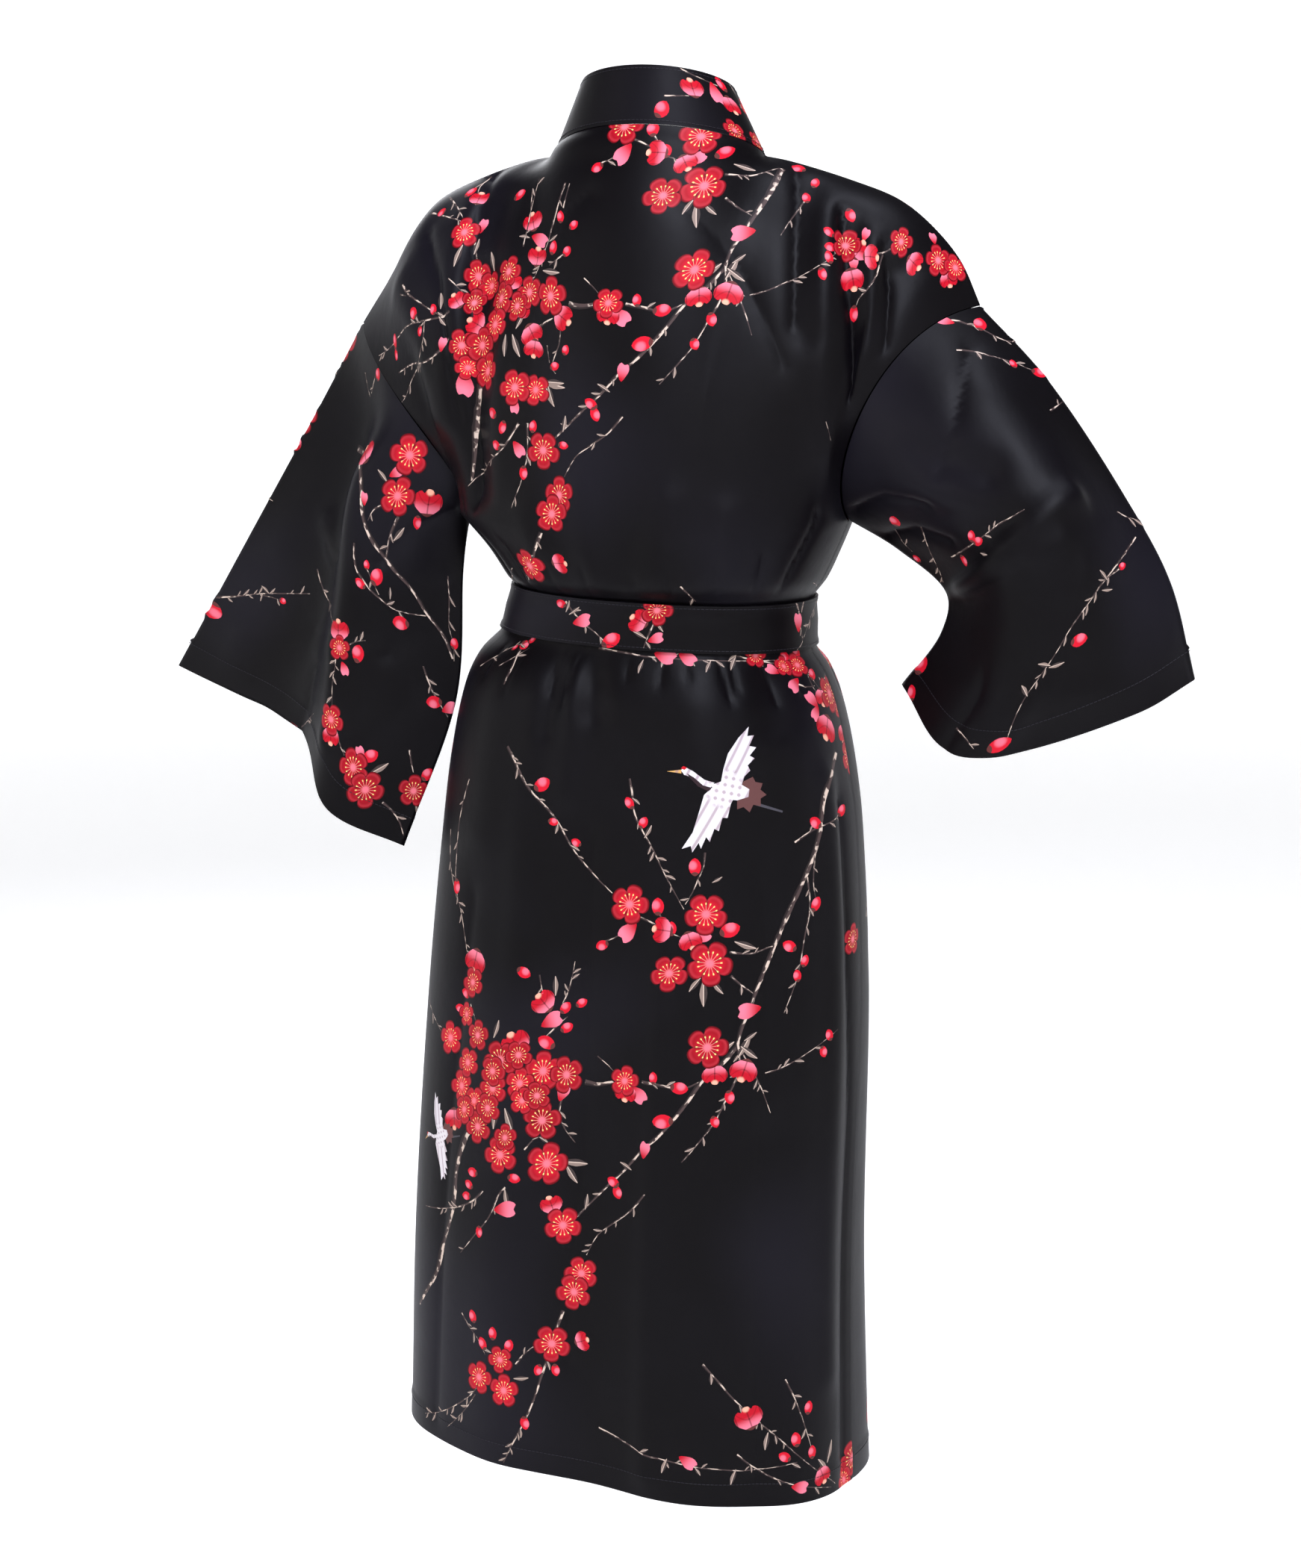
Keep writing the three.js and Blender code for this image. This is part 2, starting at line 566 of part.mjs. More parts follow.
for (const side of [1, -1]) {
  const name = side > 0 ? 'sleeve_left' : 'sleeve_right';
  const back = side > 0 ? leftBackSleeveFolds : rightBackSleeveFolds;
  const front = side > 0 ? leftFrontSleeveFolds : rightFrontSleeveFolds;
  const rounds = sleeveRows(side, armhole(side)).map((line) => line.slice(0, -1));
  const folds = (c) => (c < chestRows ? back : front);
  const fromFold = (c) => Math.min(c % chestRows, chestRows - (c % chestRows));
  panels[name] = folded(name, rounds, folds, (r, c) => awayFrom(r, 2) * awayFrom(fromFold(c), 2));
}

panels.neckband = bandRows();

// The direction out of the cloth is the same on both sides of a seam
const normals = {};
for (const [name, rows] of Object.entries(panels)) normals[name] = rowNormals(rows, isClosed(name), facing[name]);

function edgePlaces(name) {
  const rows = panels[name];
  const last = rows.length - 1;
  const end = rows[0].length - 1;
  const places = [];
  rows.forEach((line, r) => line.forEach((point, c) => {
    const onEdge = r === 0 || r === last || (!isClosed(name) && (c === 0 || c === end));
    if (onEdge) places.push({ point, normal: normals[name][r][c] });
  }));
  return places;
}

function shareSeamNormals() {
  const places = Object.keys(panels).flatMap(edgePlaces);
  const near = 1.5;
  const sums = places.map(({ point }) => {
    const sum = new THREE.Vector3();
    for (const other of places) if (other.point.distanceTo(point) < near) sum.add(other.normal);
    return sum.normalize();
  });
  places.forEach(({ normal }, i) => normal.copy(sums[i]));
}
shareSeamNormals();

// Moves the outer lines of a panel in by half of the gap at a seam
function trimmed(rows, edges, gap) {
  const last = rows.length - 1;
  const end = rows[0].length - 1;
  const toward = (from, to) => {
    const point = from.clone();
    return point.lerp(to, (gap / 2) / from.distanceTo(to));
  };
  const result = rows.map((line) => line.map((point) => point.clone()));
  for (let c = 0; c <= end; c += 1) {
    if (edges.includes('first row')) result[0][c] = toward(rows[0][c], rows[1][c]);
    if (edges.includes('last row')) result[last][c] = toward(rows[last][c], rows[last - 1][c]);
  }
  for (let r = 0; r <= last; r += 1) {
    if (edges.includes('first column')) result[r][0] = toward(result[r][0], result[r][1]);
    if (edges.includes('last column')) result[r][end] = toward(result[r][end], result[r][end - 1]);
  }
  return result;
}

const seams = {
  back: ['first row', 'first column', 'last column'],
  front_left: ['first row', 'first column', 'last column'],
  front_right: ['first row', 'first column', 'last column'],
  neckband: ['first column'],
  sleeve_left: [],
  sleeve_right: [],
};

const printedCotton = new THREE.MeshStandardMaterial({ color: 0x1d1b20, roughness: 0.72, metalness: 0 });
const happiCoat = new THREE.Group();
happiCoat.name = 'happi_coat';

function add(name, geometry) {
  const mesh = new THREE.Mesh(geometry, printedCotton.clone());
  mesh.name = name;
  happiCoat.add(mesh);
}

for (const [name, rows] of Object.entries(panels)) {
  const isBand = name === 'neckband';
  const rise = isBand ? bandRise : 0;
  const outer = trimmed(rows, seams[name], isBand ? bandGap : seamGap).map((line, r) => line.map((point, c) => {
    return point.addScaledVector(normals[name][r][c], rise);
  }));
  add(name, wall(outer, normals[name], isBand ? bandThickness : clothThickness, isClosed(name)));
}

// The belt goes once round over the fronts, moved out from the same rounds as the cloth
const beltHeights = [beltTopHeight, beltMiddleHeight, beltBottomHeight];
function beltGeometry() {
  const rows = beltHeights.map((height) => roundRow(height, 0, 360, beltColumns).slice(0, -1));
  const out = rowNormals(rows, true, 1);
  const rise = bandRise + layerGap + beltThickness;
  const outer = rows.map((line, r) => line.map((point, c) => point.clone().addScaledVector(out[r][c], rise)));
  return wall(outer, out, beltThickness, true);
}
add('belt', beltGeometry());

// Point on the front of the body at a distance from its middle
function frontPoint(height, across) {
  const half = readTable(bodyRounds, 'height', height, 'half');
  const power = readTable(bodyRounds, 'height', height, 'power');
  const angle = THREE.MathUtils.radToDeg(Math.asin((Math.abs(across) / half) ** (power / 2)));
  return roundPoint(height, 180 - Math.sign(across) * angle);
}

// A hanging end of the belt: it leaves the knot narrow and spreads to its full width
function endGeometry(end) {
  const top = beltMiddleHeight - knot.high / 2 - seamGap;
  const heights = [top];
  for (const height of skirtHeights) if (height < top - 4 && height > top - end.length + 8) heights.push(height);
  heights.push(top - end.length);
  const columns = 4;
  const rows = heights.map((height) => {
    const share = smoothstep((top - height) / end.length, 0, 0.25);
    const middle = lerp(end.top, end.bottom, share);
    const width = lerp(endTopWidth, endWidth, share);
    const line = [];
    for (let c = 0; c <= columns; c += 1) line.push(frontPoint(height, middle + width * (c / columns - 0.5)));
    return line;
  });
  const out = rowNormals(rows, false, -1);
  const rise = layerGap + beltThickness;
  const outer = rows.map((line, r) => line.map((point, c) => point.clone().addScaledVector(out[r][c], rise)));
  return wall(outer, out, beltThickness, false);
}
for (const end of beltEnds) add(end.name, endGeometry(end));

// The knot is a soft block, flat against the belt
function knotGeometry() {
  const geometry = new THREE.SphereGeometry(1, 20, 12);
  const at = geometry.getAttribute('position');
  const beltFront = Math.min(...beltHeights.map((height) => roundPoint(height, 180).y));
  const front = beltFront - bandRise - layerGap - beltThickness - seamGap;
  const shape = (value, size) => (Math.sign(value) * Math.abs(value) ** 0.6 * size) / 2;
  for (let i = 0; i < at.count; i += 1) {
    const y = shape(at.getY(i), knot.deep);
    at.setXYZ(i, shape(at.getX(i), knot.across), front - knot.deep / 2 + y, beltMiddleHeight + shape(at.getZ(i), knot.high));
  }
  geometry.deleteAttribute('normal');
  geometry.deleteAttribute('uv');
  return outward(mergeVertices(geometry, 1e-3));
}
add('belt_knot', knotGeometry());

export default happiCoat;
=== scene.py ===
import json
import math

import bpy
import numpy as np
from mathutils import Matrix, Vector
from mathutils.kdtree import KDTree
from mathutils.geometry import delaunay_2d_cdt

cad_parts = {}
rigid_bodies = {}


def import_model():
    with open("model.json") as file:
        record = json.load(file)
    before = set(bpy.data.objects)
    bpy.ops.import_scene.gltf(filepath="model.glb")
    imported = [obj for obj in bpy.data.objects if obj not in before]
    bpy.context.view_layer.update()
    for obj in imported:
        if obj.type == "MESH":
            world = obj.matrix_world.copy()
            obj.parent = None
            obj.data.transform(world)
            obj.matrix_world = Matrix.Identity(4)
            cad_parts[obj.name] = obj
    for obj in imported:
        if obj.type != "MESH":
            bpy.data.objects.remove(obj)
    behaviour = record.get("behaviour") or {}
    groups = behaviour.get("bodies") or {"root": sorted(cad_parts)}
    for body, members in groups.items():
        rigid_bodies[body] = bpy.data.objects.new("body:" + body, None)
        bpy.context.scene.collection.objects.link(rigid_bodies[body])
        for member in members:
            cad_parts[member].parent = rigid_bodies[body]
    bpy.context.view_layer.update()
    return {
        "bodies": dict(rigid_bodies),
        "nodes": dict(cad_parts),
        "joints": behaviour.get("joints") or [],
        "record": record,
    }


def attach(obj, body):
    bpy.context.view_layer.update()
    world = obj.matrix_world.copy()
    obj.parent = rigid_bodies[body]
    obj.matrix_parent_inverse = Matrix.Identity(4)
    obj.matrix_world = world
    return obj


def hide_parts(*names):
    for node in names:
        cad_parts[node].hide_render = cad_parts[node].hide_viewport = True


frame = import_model()
print("frame loaded")

view = {"place": (-0.8652, 2.6630, -0.040), "aim": (0.0081, 0.0026, -0.5307), "lens": 79.7}  # camera, metres

# Sizes are in millimetres until a mesh is made. +X is the wearer's left and +Y the wearer's back.
coat = {
    "underarm": -310, "beltTop": -369, "beltBottom": -407, "hem": -1087,
    "clothThickness": 0.9, "bandThickness": 2.4, "beltThickness": 2.2,
    "bandWidth": 50, "bandRise": 0.6, "seamGap": 0.3, "armholeGap": 0.5,
    "overlap": 5, "layerGap": 0.5, "heldAbove": (-4, 22), "heldBelow": (-26, 4),
    "neckColumns": 10, "frontColumns": 12, "chestRows": 12, "sleeveRounds": 14,
}
fineness = {"backColumns": 272, "frontColumns": 120, "chestRows": 96, "skirtRows": 190, "sleeveRows": 100,
            "bandColumns": 12, "neckRows": 60}
backColumns = coat["neckColumns"] + 2 * coat["frontColumns"]

# Rounds of the body: height, half width, middle, depth at back and front, power, tilt, turn
bodyRounds = np.array([
    (-310, 161, 4, 112, 112, 2.3, 0, 0), (-335, 143, -3, 112, 112, 2.3, 0, 0),
    (-360, 128, -6, 107, 107, 2.3, 0, 0), (-369, 122, -3, 95, 95, 2.2, 0.03, 0),
    (-388, 124.5, -0.5, 95, 95, 2.2, 0.035, 0), (-407, 128, 2, 95, 95, 2.2, 0.04, 0),
    (-425, 143, 6, 103, 103, 2.2, 0.03, 0), (-450, 154, 7, 112, 110, 2.3, 0.02, 0),
    (-500, 165, 7, 118, 112, 2.4, 0, 0), (-560, 173, 7, 122, 114, 2.4, 0, 0),
    (-700, 183, 11, 124, 118, 2.5, 0, 1), (-900, 189, 19, 127, 124, 2.6, 0.03, 4),
    (-1087, 195, 19, 130, 130, 2.7, 0.06, 7)])
roundColumns = ["height", "half", "middle", "back", "front", "power", "tilt", "turn"]

# Top of the shoulders, from the neck to the head of the sleeve
leftShoulder = [(86, 2, -24), (107, 2, -27), (149, 1, -40), (186, 0, -57), (205, -2, -75), (231, -8, -113),
                (263, -12, -159)]
rightShoulder = [(-86, 2, -24), (-107, 2, -28), (-158, 1, -43), (-196, 0, -58), (-224, 0, -80),
                 (-245, 0, -105), (-261, 0, -139)]

# How each upright line of cloth leaves the underarm (rise) and reaches the shoulder (fall)
backLines = {"place": [0, 0.3, 0.75, 1],
             "rise": [(0, 8, 110), (0, 8, 110), (0, 14, 95), (-15, 55, 40)],
             "fall": [(0, 40, -50), (12, 62, -12), (0, 74, -24), (-29, 70, -42)]}
frontLines = {"place": [0, 0.35, 0.75, 1],
              "rise": [(0, -6, 110), (0, -8, 110), (0, -12, 95), (-15, -50, 40)],
              "fall": [(0, -62, -60), (0, -66, -30), (0, -66, -26), (-29, -62, -42)]}
rightArmLines = {"rise": (7, 70, 40), "fall": (61, 80, -10)}

# Seam and free edge of the neckband on the left front, from the neck down to the underarm
neckEdge = {"seam": [(86, 2, -24), (84, -36, -50), (72, -72, -98), (52, -98, -160), (26, -113, -228),
                     (2, -114, -282)],
            "free": [(62, 5, 27), (52, -37, -9), (35, -76, -64), (10, -103, -134), (-20, -113, -208),
                     (-45, -114, -264)]}
frontEdge = {"height": [-310, -388, -500, -700, -1087], "past": [10, 32, 52, 66, 80]}
neckArc = {"halfWidth": 86, "middle": 2, "depth": 60, "drop": 24, "power": 1.4}
bandArc = {"halfWidth": 62, "middle": 5, "depth": 48, "drop": 18, "height": 45}
tuck = {"across": (-0.95, -0.72), "height": (-140, -60)}  # where the right front goes under the left one
neckCurve = {"spread": 9, "firstRows": 16, "fadingRows": (40, 70), "edgeColumns": (12, 40), "least": 0.3}

# Rounds of the sleeves: share of the length, top fold, back layer, bottom fold, front layer
leftSleeve = [
    (0.33, (309, -21, -230), [(262, -4, -262), (245, 46, -285)], (168, 7, -360),
     [(225, -52, -320), (275, -50, -265)]),
    (0.67, (386, -40, -345), [(300, -5, -398), (264, 47, -410)], (173, 12, -465),
     [(235, -58, -450), (320, -62, -400)]),
    (1, (463, -60, -460), [(322, -2, -502), (276, 47, -560)], (219, 20, -592),
     [(262, -56, -570), (365, -80, -510)])]
rightSleeve = [
    (0.3, (-316, 10, -193), [(-286, 62, -212), (-240, 76, -275)], (-200, 8, -332),
     [(-235, -46, -290), (-290, -40, -215)]),
    (0.6, (-381, 24, -280), [(-350, 80, -290), (-304, 88, -325)], (-242, 22, -364),
     [(-270, -42, -345), (-345, -36, -295)]),
    (0.8, (-421, 36, -345), [(-380, 72, -372), (-310, 80, -405)], (-238, 22, -392),
     [(-270, -46, -400), (-380, -30, -365)]),
    (1, (-444, 50, -417), [(-400, 57, -445), (-262, 62, -484)], (-203, 6, -438),
     [(-262, -50, -452), (-380, -16, -430)])]


def ease(value, low, high):
    share = np.clip((np.asarray(value, float) - low) / (high - low), 0, 1)
    return share * share * (3 - 2 * share)


def readCurve(keys, values, place):
    keys, values, place = (np.asarray(item, float) for item in (keys, values, place))
    if keys[-1] < keys[0]:
        keys, place = -keys, -place
    last = len(keys) - 1
    row = np.clip(np.searchsorted(keys, place, side="right") - 1, 0, last - 1)
    low, high = np.maximum(np.arange(last + 1) - 1, 0), np.minimum(np.arange(last + 1) + 1, last)
    slope = (values[high] - values[low]) / (keys[high] - keys[low])
    step = keys[row + 1] - keys[row]
    t = np.clip((place - keys[row]) / step, 0, 1)
    return ((2 * t**3 - 3 * t**2 + 1) * values[row] + (t**3 - 2 * t**2 + t) * step * slope[row]
            + (3 * t**2 - 2 * t**3) * values[row + 1] + (t**3 - t**2) * step * slope[row + 1])


def readRound(column, height):
    return readCurve(bodyRounds[:, 0], bodyRounds[:, roundColumns.index(column)], height)


def roundPoint(height, angle):  # the angle is 0 at the middle of the back and 90 at the left side
    height, angle = np.broadcast_arrays(np.asarray(height, float), np.asarray(angle, float))
    sine, cosine = np.sin(np.radians(angle)), np.cos(np.radians(angle))
    bend = 2 / readRound("power", height)
    depth = np.where(cosine > 0, readRound("back", height), readRound("front", height))
    across = readRound("half", height) * np.sign(sine) * np.abs(sine) ** bend
    away = depth * np.sign(cosine) * np.abs(cosine) ** bend
    turn = np.radians(readRound("turn", height))
    x = readRound("middle", height) + across * np.cos(turn) + away * np.sin(turn)
    y = away * np.cos(turn) - across * np.sin(turn)
    return np.stack([x, y, height + readRound("tilt", height) * across], -1)


def alongLine(points, shares):
    lengths = np.concatenate([[0], np.cumsum(np.linalg.norm(np.diff(points, axis=0), axis=1))])
    goals = np.asarray(shares) * lengths[-1]
    return np.stack([np.interp(goals, lengths, points[:, axis]) for axis in range(3)], -1)


def roundLine(height, fromAngle, toAngle, shares):
    return alongLine(roundPoint(height, np.linspace(fromAngle, toAngle, 721)), shares)


def curveAt(points, places):  # smooth curve through the first axis of the points
    points = np.asarray(points, float)
    padded = np.concatenate([[2 * points[0] - points[1]], points, [2 * points[-1] - points[-2]]])
    found = []
    for place in places:
        row = min(int(place), len(points) - 2)
        t = place - row
        p0, p1, p2, p3 = padded[row:row + 4]
        pairs = ((p0, p1), (p1, p2), (p2, p3))
        spans = [np.linalg.norm(b - a, axis=-1, keepdims=True) ** 0.5 for a, b in pairs]
        d1 = np.where(spans[1] < 1e-4, 1, spans[1])
        d0, d2 = np.where(spans[0] < 1e-4, d1, spans[0]), np.where(spans[2] < 1e-4, d1, spans[2])
        t1 = ((p1 - p0) / d0 - (p2 - p0) / (d0 + d1) + (p2 - p1) / d1) * d1
        t2 = ((p2 - p1) / d1 - (p3 - p1) / (d1 + d2) + (p3 - p2) / d2) * d1
        square, cube = 3 * p2 - 3 * p1 - 2 * t1 - t2, 2 * p1 - 2 * p2 + t1 + t2
        found.append(p1 + t1 * t + square * t**2 + cube * t**3)
    return np.array(found)


def smoothLine(points, shares, steps=160):
    return alongLine(curveAt(points, np.linspace(0, len(points) - 1, steps + 1)), shares)


def edgeAngle(height, side, width):
    past = readCurve(frontEdge["height"], frontEdge["past"], height) + width
    share = (past / readRound("half", height)) ** (readRound("power", height) / 2)
    return side * (180 + np.degrees(np.arcsin(share)))


def inward(points):
    away = np.stack([-points[..., 0] * 0.6, -points[..., 1], np.zeros(points.shape[:-1])], -1)
    return away / np.linalg.norm(away, axis=-1, keepdims=True)


def tucked(points):  # the right front lies inside the left one
    low = np.minimum(points[..., 2], coat["underarm"])
    across = ease((points[..., 0] - readRound("middle", low)) / readRound("half", low), *tuck["across"])
    depth = coat["overlap"] * across * (1 - ease(points[..., 2], *tuck["height"]))
    return points + inward(points) * depth[..., None]


def neckPoint(angle):
    across, away = np.sin(np.radians(angle)), np.clip(np.cos(np.radians(angle)), 0, 1)
    return np.stack([neckArc["halfWidth"] * across,
                     neckArc["middle"] + neckArc["depth"] * away ** neckArc["power"],
                     -neckArc["drop"] * (1 - away)], -1)


def bandTopPoint(angle):
    across, away = np.sin(np.radians(angle)), np.clip(np.cos(np.radians(angle)), 0, 1)
    return np.stack([bandArc["halfWidth"] * across, bandArc["middle"] + bandArc["depth"] * away,
                     bandArc["height"] - bandArc["drop"] * (1 - away)], -1)


def shoulderAt(side, shares):
    return smoothLine(leftShoulder if side > 0 else rightShoulder, shares, 80)


def lineOffsets(lines, which, place, side, frontSide):
    table, keys = np.array(lines[which], float), np.array(lines["place"], float)
    row = np.clip(np.searchsorted(keys, place, side="right") - 1, 0, len(keys) - 2)
    share = ease((place - keys[row]) / (keys[row + 1] - keys[row]), 0, 1)[:, None]
    offsets = table[row] * (1 - share) + table[row + 1] * share
    offsets[:, 0] *= np.where(side < 0, -1, 1)
    arm = np.array(rightArmLines[which], float) * np.array([1, -1 if frontSide else 1, 1])
    right = np.where(side < 0, ease(place, 0.6, 1), 0)[:, None]
    return offsets * (1 - right) + arm * right


def chestGrid(top, low, lines, place, side, frontSide):
    rise = lineOffsets(lines, "rise", place, side, frontSide)
    fall = lineOffsets(lines, "fall", place, side, frontSide)
    t = np.linspace(0, 1, fineness["chestRows"] + 1)[:, None, None]
    rest = 1 - t
    return rest**3 * top + 3 * rest**2 * t * (top + fall) + 3 * rest * t**2 * (low + rise) + t**3 * low


skirtHeights = np.linspace(coat["underarm"], coat["hem"], fineness["skirtRows"] + 1)
chestShares = np.linspace(0, 1, fineness["chestRows"] + 1)
# Shares above 1 are rows below the underarm
rowShares = np.concatenate([chestShares, 1 + np.arange(1, fineness["skirtRows"] + 1)])


def relaxed(chest):  # the cloth spans the corners beside the neck in a soft curve
    columns = np.arange(chest.shape[1])
    free = ease(np.minimum(columns, columns[::-1]), *neckCurve["edgeColumns"])[:, None]
    soft = chest.copy()
    for row in range(1, len(chest)):
        share = ease(row, 0, neckCurve["firstRows"]) * (1 - ease(row, *neckCurve["fadingRows"]))
        spread = neckCurve["spread"] * float(share)
        if spread >= neckCurve["least"]:
            weights = np.exp(-0.5 * ((columns[:, None] - columns[None]) / spread) ** 2)
            weights /= weights.sum(1, keepdims=True)
            soft[row] = chest[row] * (1 - free) + (weights @ chest[row]) * free
    return soft


def backGrid():
    shares = np.linspace(-1, 1, fineness["backColumns"] + 1)
    place, side = np.abs(shares), np.sign(shares)
    neckShare = coat["neckColumns"] / backColumns
    top = neckPoint(90 * np.clip(shares / neckShare, -1, 1))
    for which in (-1, 1):
        outer = (side == which) & (place > neckShare)
        top[outer] = shoulderAt(which, (place[outer] - neckShare) / (1 - neckShare))
    low = roundLine(coat["underarm"], -90, 90, (shares + 1) / 2)
    chest = relaxed(chestGrid(top, low, backLines, place, side, False))
    skirt = [roundLine(height, -90, 90, (shares + 1) / 2) for height in skirtHeights[1:]]
    return np.concatenate([chest, np.array(skirt)])


def bandLine(side, column):
    points = [(side * x, y, z) for x, y, z in neckEdge[column]]
    width = 0 if column == "seam" else coat["bandWidth"]
    points.append(roundPoint(coat["underarm"], edgeAngle(coat["underarm"], side, width)))
    return smoothLine(points, chestShares, 120)


def frontGrid(side):
    shares = np.linspace(0, 1, fineness["frontColumns"] + 1)
    low = roundLine(coat["underarm"], side * 90, edgeAngle(coat["underarm"], side, 0), shares)
    sides = np.full(shares.shape, side)
    chest = chestGrid(shoulderAt(side, 1 - shares), low, frontLines, 1 - shares, sides, True)
    miss = bandLine(side, "seam") - chest[:, -1]
    chest = chest + miss[:, None, :] * ease(shares, 0.2, 1)[None, :, None]
    skirt = [roundLine(height, side * 90, edgeAngle(height, side, 0), shares) for height in skirtHeights[1:]]
    grid = np.concatenate([chest, np.array(skirt)])
    return grid if side > 0 else tucked(grid)


# Folds: from x, z to x, z, half width, depth. A valley has a depth above 0 and a ridge one below 0.
backFolds = [
    (122, -62, 128, -125, 15, 6), (129, -125, 133, -285, 17, 11), (150, -80, 158, -230, 16, -4),
    (-172, -80, -182, -280, 17, 8), (-205, -115, -190, -270, 18, 7), (-130, -48, -141, -160, 14, 3.5),
    (-152, -70, -158, -250, 15, -3.5), (-40, -290, -34, -350, 16, -4), (30, -285, 22, -350, 15, -4),
    (78, -300, 66, -352, 15, -4), (-86, -300, -76, -352, 15, -4), (-6, -325, -6, -356, 12, 3),
    (56, -416, 58, -470, 13, 5), (24, -416, 20, -455, 13, 4), (40, -418, 40, -520, 14, -4),
    (-108, -416, -118, -462, 14, 4), (-60, -418, -78, -540, 22, -3), (96, -420, 118, -560, 22, -3),
    (90, -700, 104, -1087, 34, -5), (20, -760, 16, -1087, 34, 4), (-60, -720, -58, -1087, 34, -4),
    (-122, -800, -122, -1087, 30, 4)]
frontFolds = [
    (150, -90, 140, -280, 18, 8), (-165, -90, -150, -280, 18, 8), (110, -120, 96, -300, 18, -4),
    (-118, -120, -100, -300, 18, -4), (60, -290, 52, -352, 14, -4), (96, -300, 84, -352, 14, -4),
    (-98, -300, -86, -352, 14, -4), (72, -416, 80, -490, 14, 4), (-92, -416, -104, -490, 14, 4),
    (112, -430, 128, -600, 22, -4), (-122, -430, -140, -640, 22, -4), (96, -700, 104, -1087, 32, 5),
    (150, -760, 158, -1087, 28, -4), (-134, -700, -132, -1087, 30, -5)]
leftBackSleeveFolds = [(205, -400, 262, -440, 14, 4), (210, -470, 258, -500, 14, 3),
                       (330, -300, 392, -440, 26, -3), (196, -300, 216, -380, 14, -3)]
leftFrontSleeveFolds = [(250, -260, 220, -340, 18, 5), (330, -330, 370, -470, 26, -4),
                        (240, -420, 290, -470, 18, 4)]
rightBackSleeveFolds = [(-232, -250, -286, -262, 14, 4), (-226, -300, -300, -300, 13, 4),
                        (-262, -360, -345, -312, 12, -4), (-268, -398, -372, -372, 16, 5),
                        (-300, -450, -400, -415, 16, -3)]
rightFrontSleeveFolds = [(-236, -300, -310, -250, 16, 5), (-250, -370, -350, -330, 16, 5)]


def foldDepth(folds, points):
    depth = np.zeros(points.shape[:-1])
    for fromX, fromZ, toX, toZ, width, deep in folds:
        alongX, alongZ = toX - fromX, toZ - fromZ
        offsetX, offsetZ = points[..., 0] - fromX, points[..., 2] - fromZ
        near = np.clip((offsetX * alongX + offsetZ * alongZ) / (alongX**2 + alongZ**2), 0, 1)
        distance = np.hypot(offsetX - alongX * near, offsetZ - alongZ * near)
        depth += deep * np.exp(-(distance / width) ** 2)
    return depth


def freeOfBelt(height):  # the cloth beside the belt is held flat
    above = ease(height, *(coat["beltTop"] + reach for reach in coat["heldAbove"]))
    below = 1 - ease(height, *(coat["beltBottom"] + reach for reach in coat["heldBelow"]))
    return np.maximum(above, below)


def gridNormals(grid, closed, out):
    down = np.gradient(grid, axis=0)
    if closed:
        across = np.roll(grid, -1, axis=1) - np.roll(grid, 1, axis=1)
    else:
        across = np.gradient(grid, axis=1)
    normals = np.cross(across, down) * out
    return normals / np.maximum(np.linalg.norm(normals, axis=-1, keepdims=True), 1e-9)


def moved(grid, normals, depth):
    return grid - normals * depth[..., None]


topFade = ease(np.minimum(rowShares, 1) * coat["chestRows"], 0, 2)
panels = {}

grid = backGrid()
shares = np.linspace(0, backColumns, fineness["backColumns"] + 1)
fade = topFade[:, None] * ease(np.minimum(shares, backColumns - shares), 0, 4)[None, :]
depth = foldDepth(backFolds, grid) * freeOfBelt(grid[..., 2]) * fade
panels["back"] = {"grid": moved(grid, gridNormals(grid, False, 1), depth), "closed": False, "out": 1}

for side, name in ((1, "front_left"), (-1, "front_right")):
    grid = frontGrid(side)
    shares = np.linspace(0, coat["frontColumns"], fineness["frontColumns"] + 1)
    fade = topFade[:, None] * ease(shares, 0, 3)[None, :]
    depth = foldDepth(frontFolds, grid) * freeOfBelt(grid[..., 2]) * fade
    panels[name] = {"grid": moved(grid, gridNormals(grid, False, side), depth), "closed": False, "out": side}


def sleeveGrid(side):
    back = panels["back"]["grid"][:fineness["chestRows"] + 1, -1 if side > 0 else 0]
    front = panels["front_left" if side > 0 else "front_right"]["grid"][:fineness["chestRows"], 0]
    armhole = np.concatenate([back, front[::-1]])
    table = leftSleeve if side > 0 else rightSleeve
    half = np.linspace(0, 1, fineness["chestRows"] + 1)
    rounds = [armhole]
    for _, top, backPoints, bottom, frontPoints in table:
        down = smoothLine([top, *backPoints, bottom], half, 60)
        up = smoothLine([bottom, *frontPoints, top], half, 60)
        rounds.append(np.concatenate([down, up[1:]]))
    knots = [0] + [row[0] for row in table]
    along = np.linspace(0, 1, fineness["sleeveRows"] + 1)
    grid = curveAt(np.array(rounds), np.interp(along, knots, np.arange(len(knots))))
    step = grid[1] - grid[0]
    grid[0] += step * (coat["armholeGap"] / np.linalg.norm(step, axis=-1, keepdims=True))
    return grid[:, :-1]


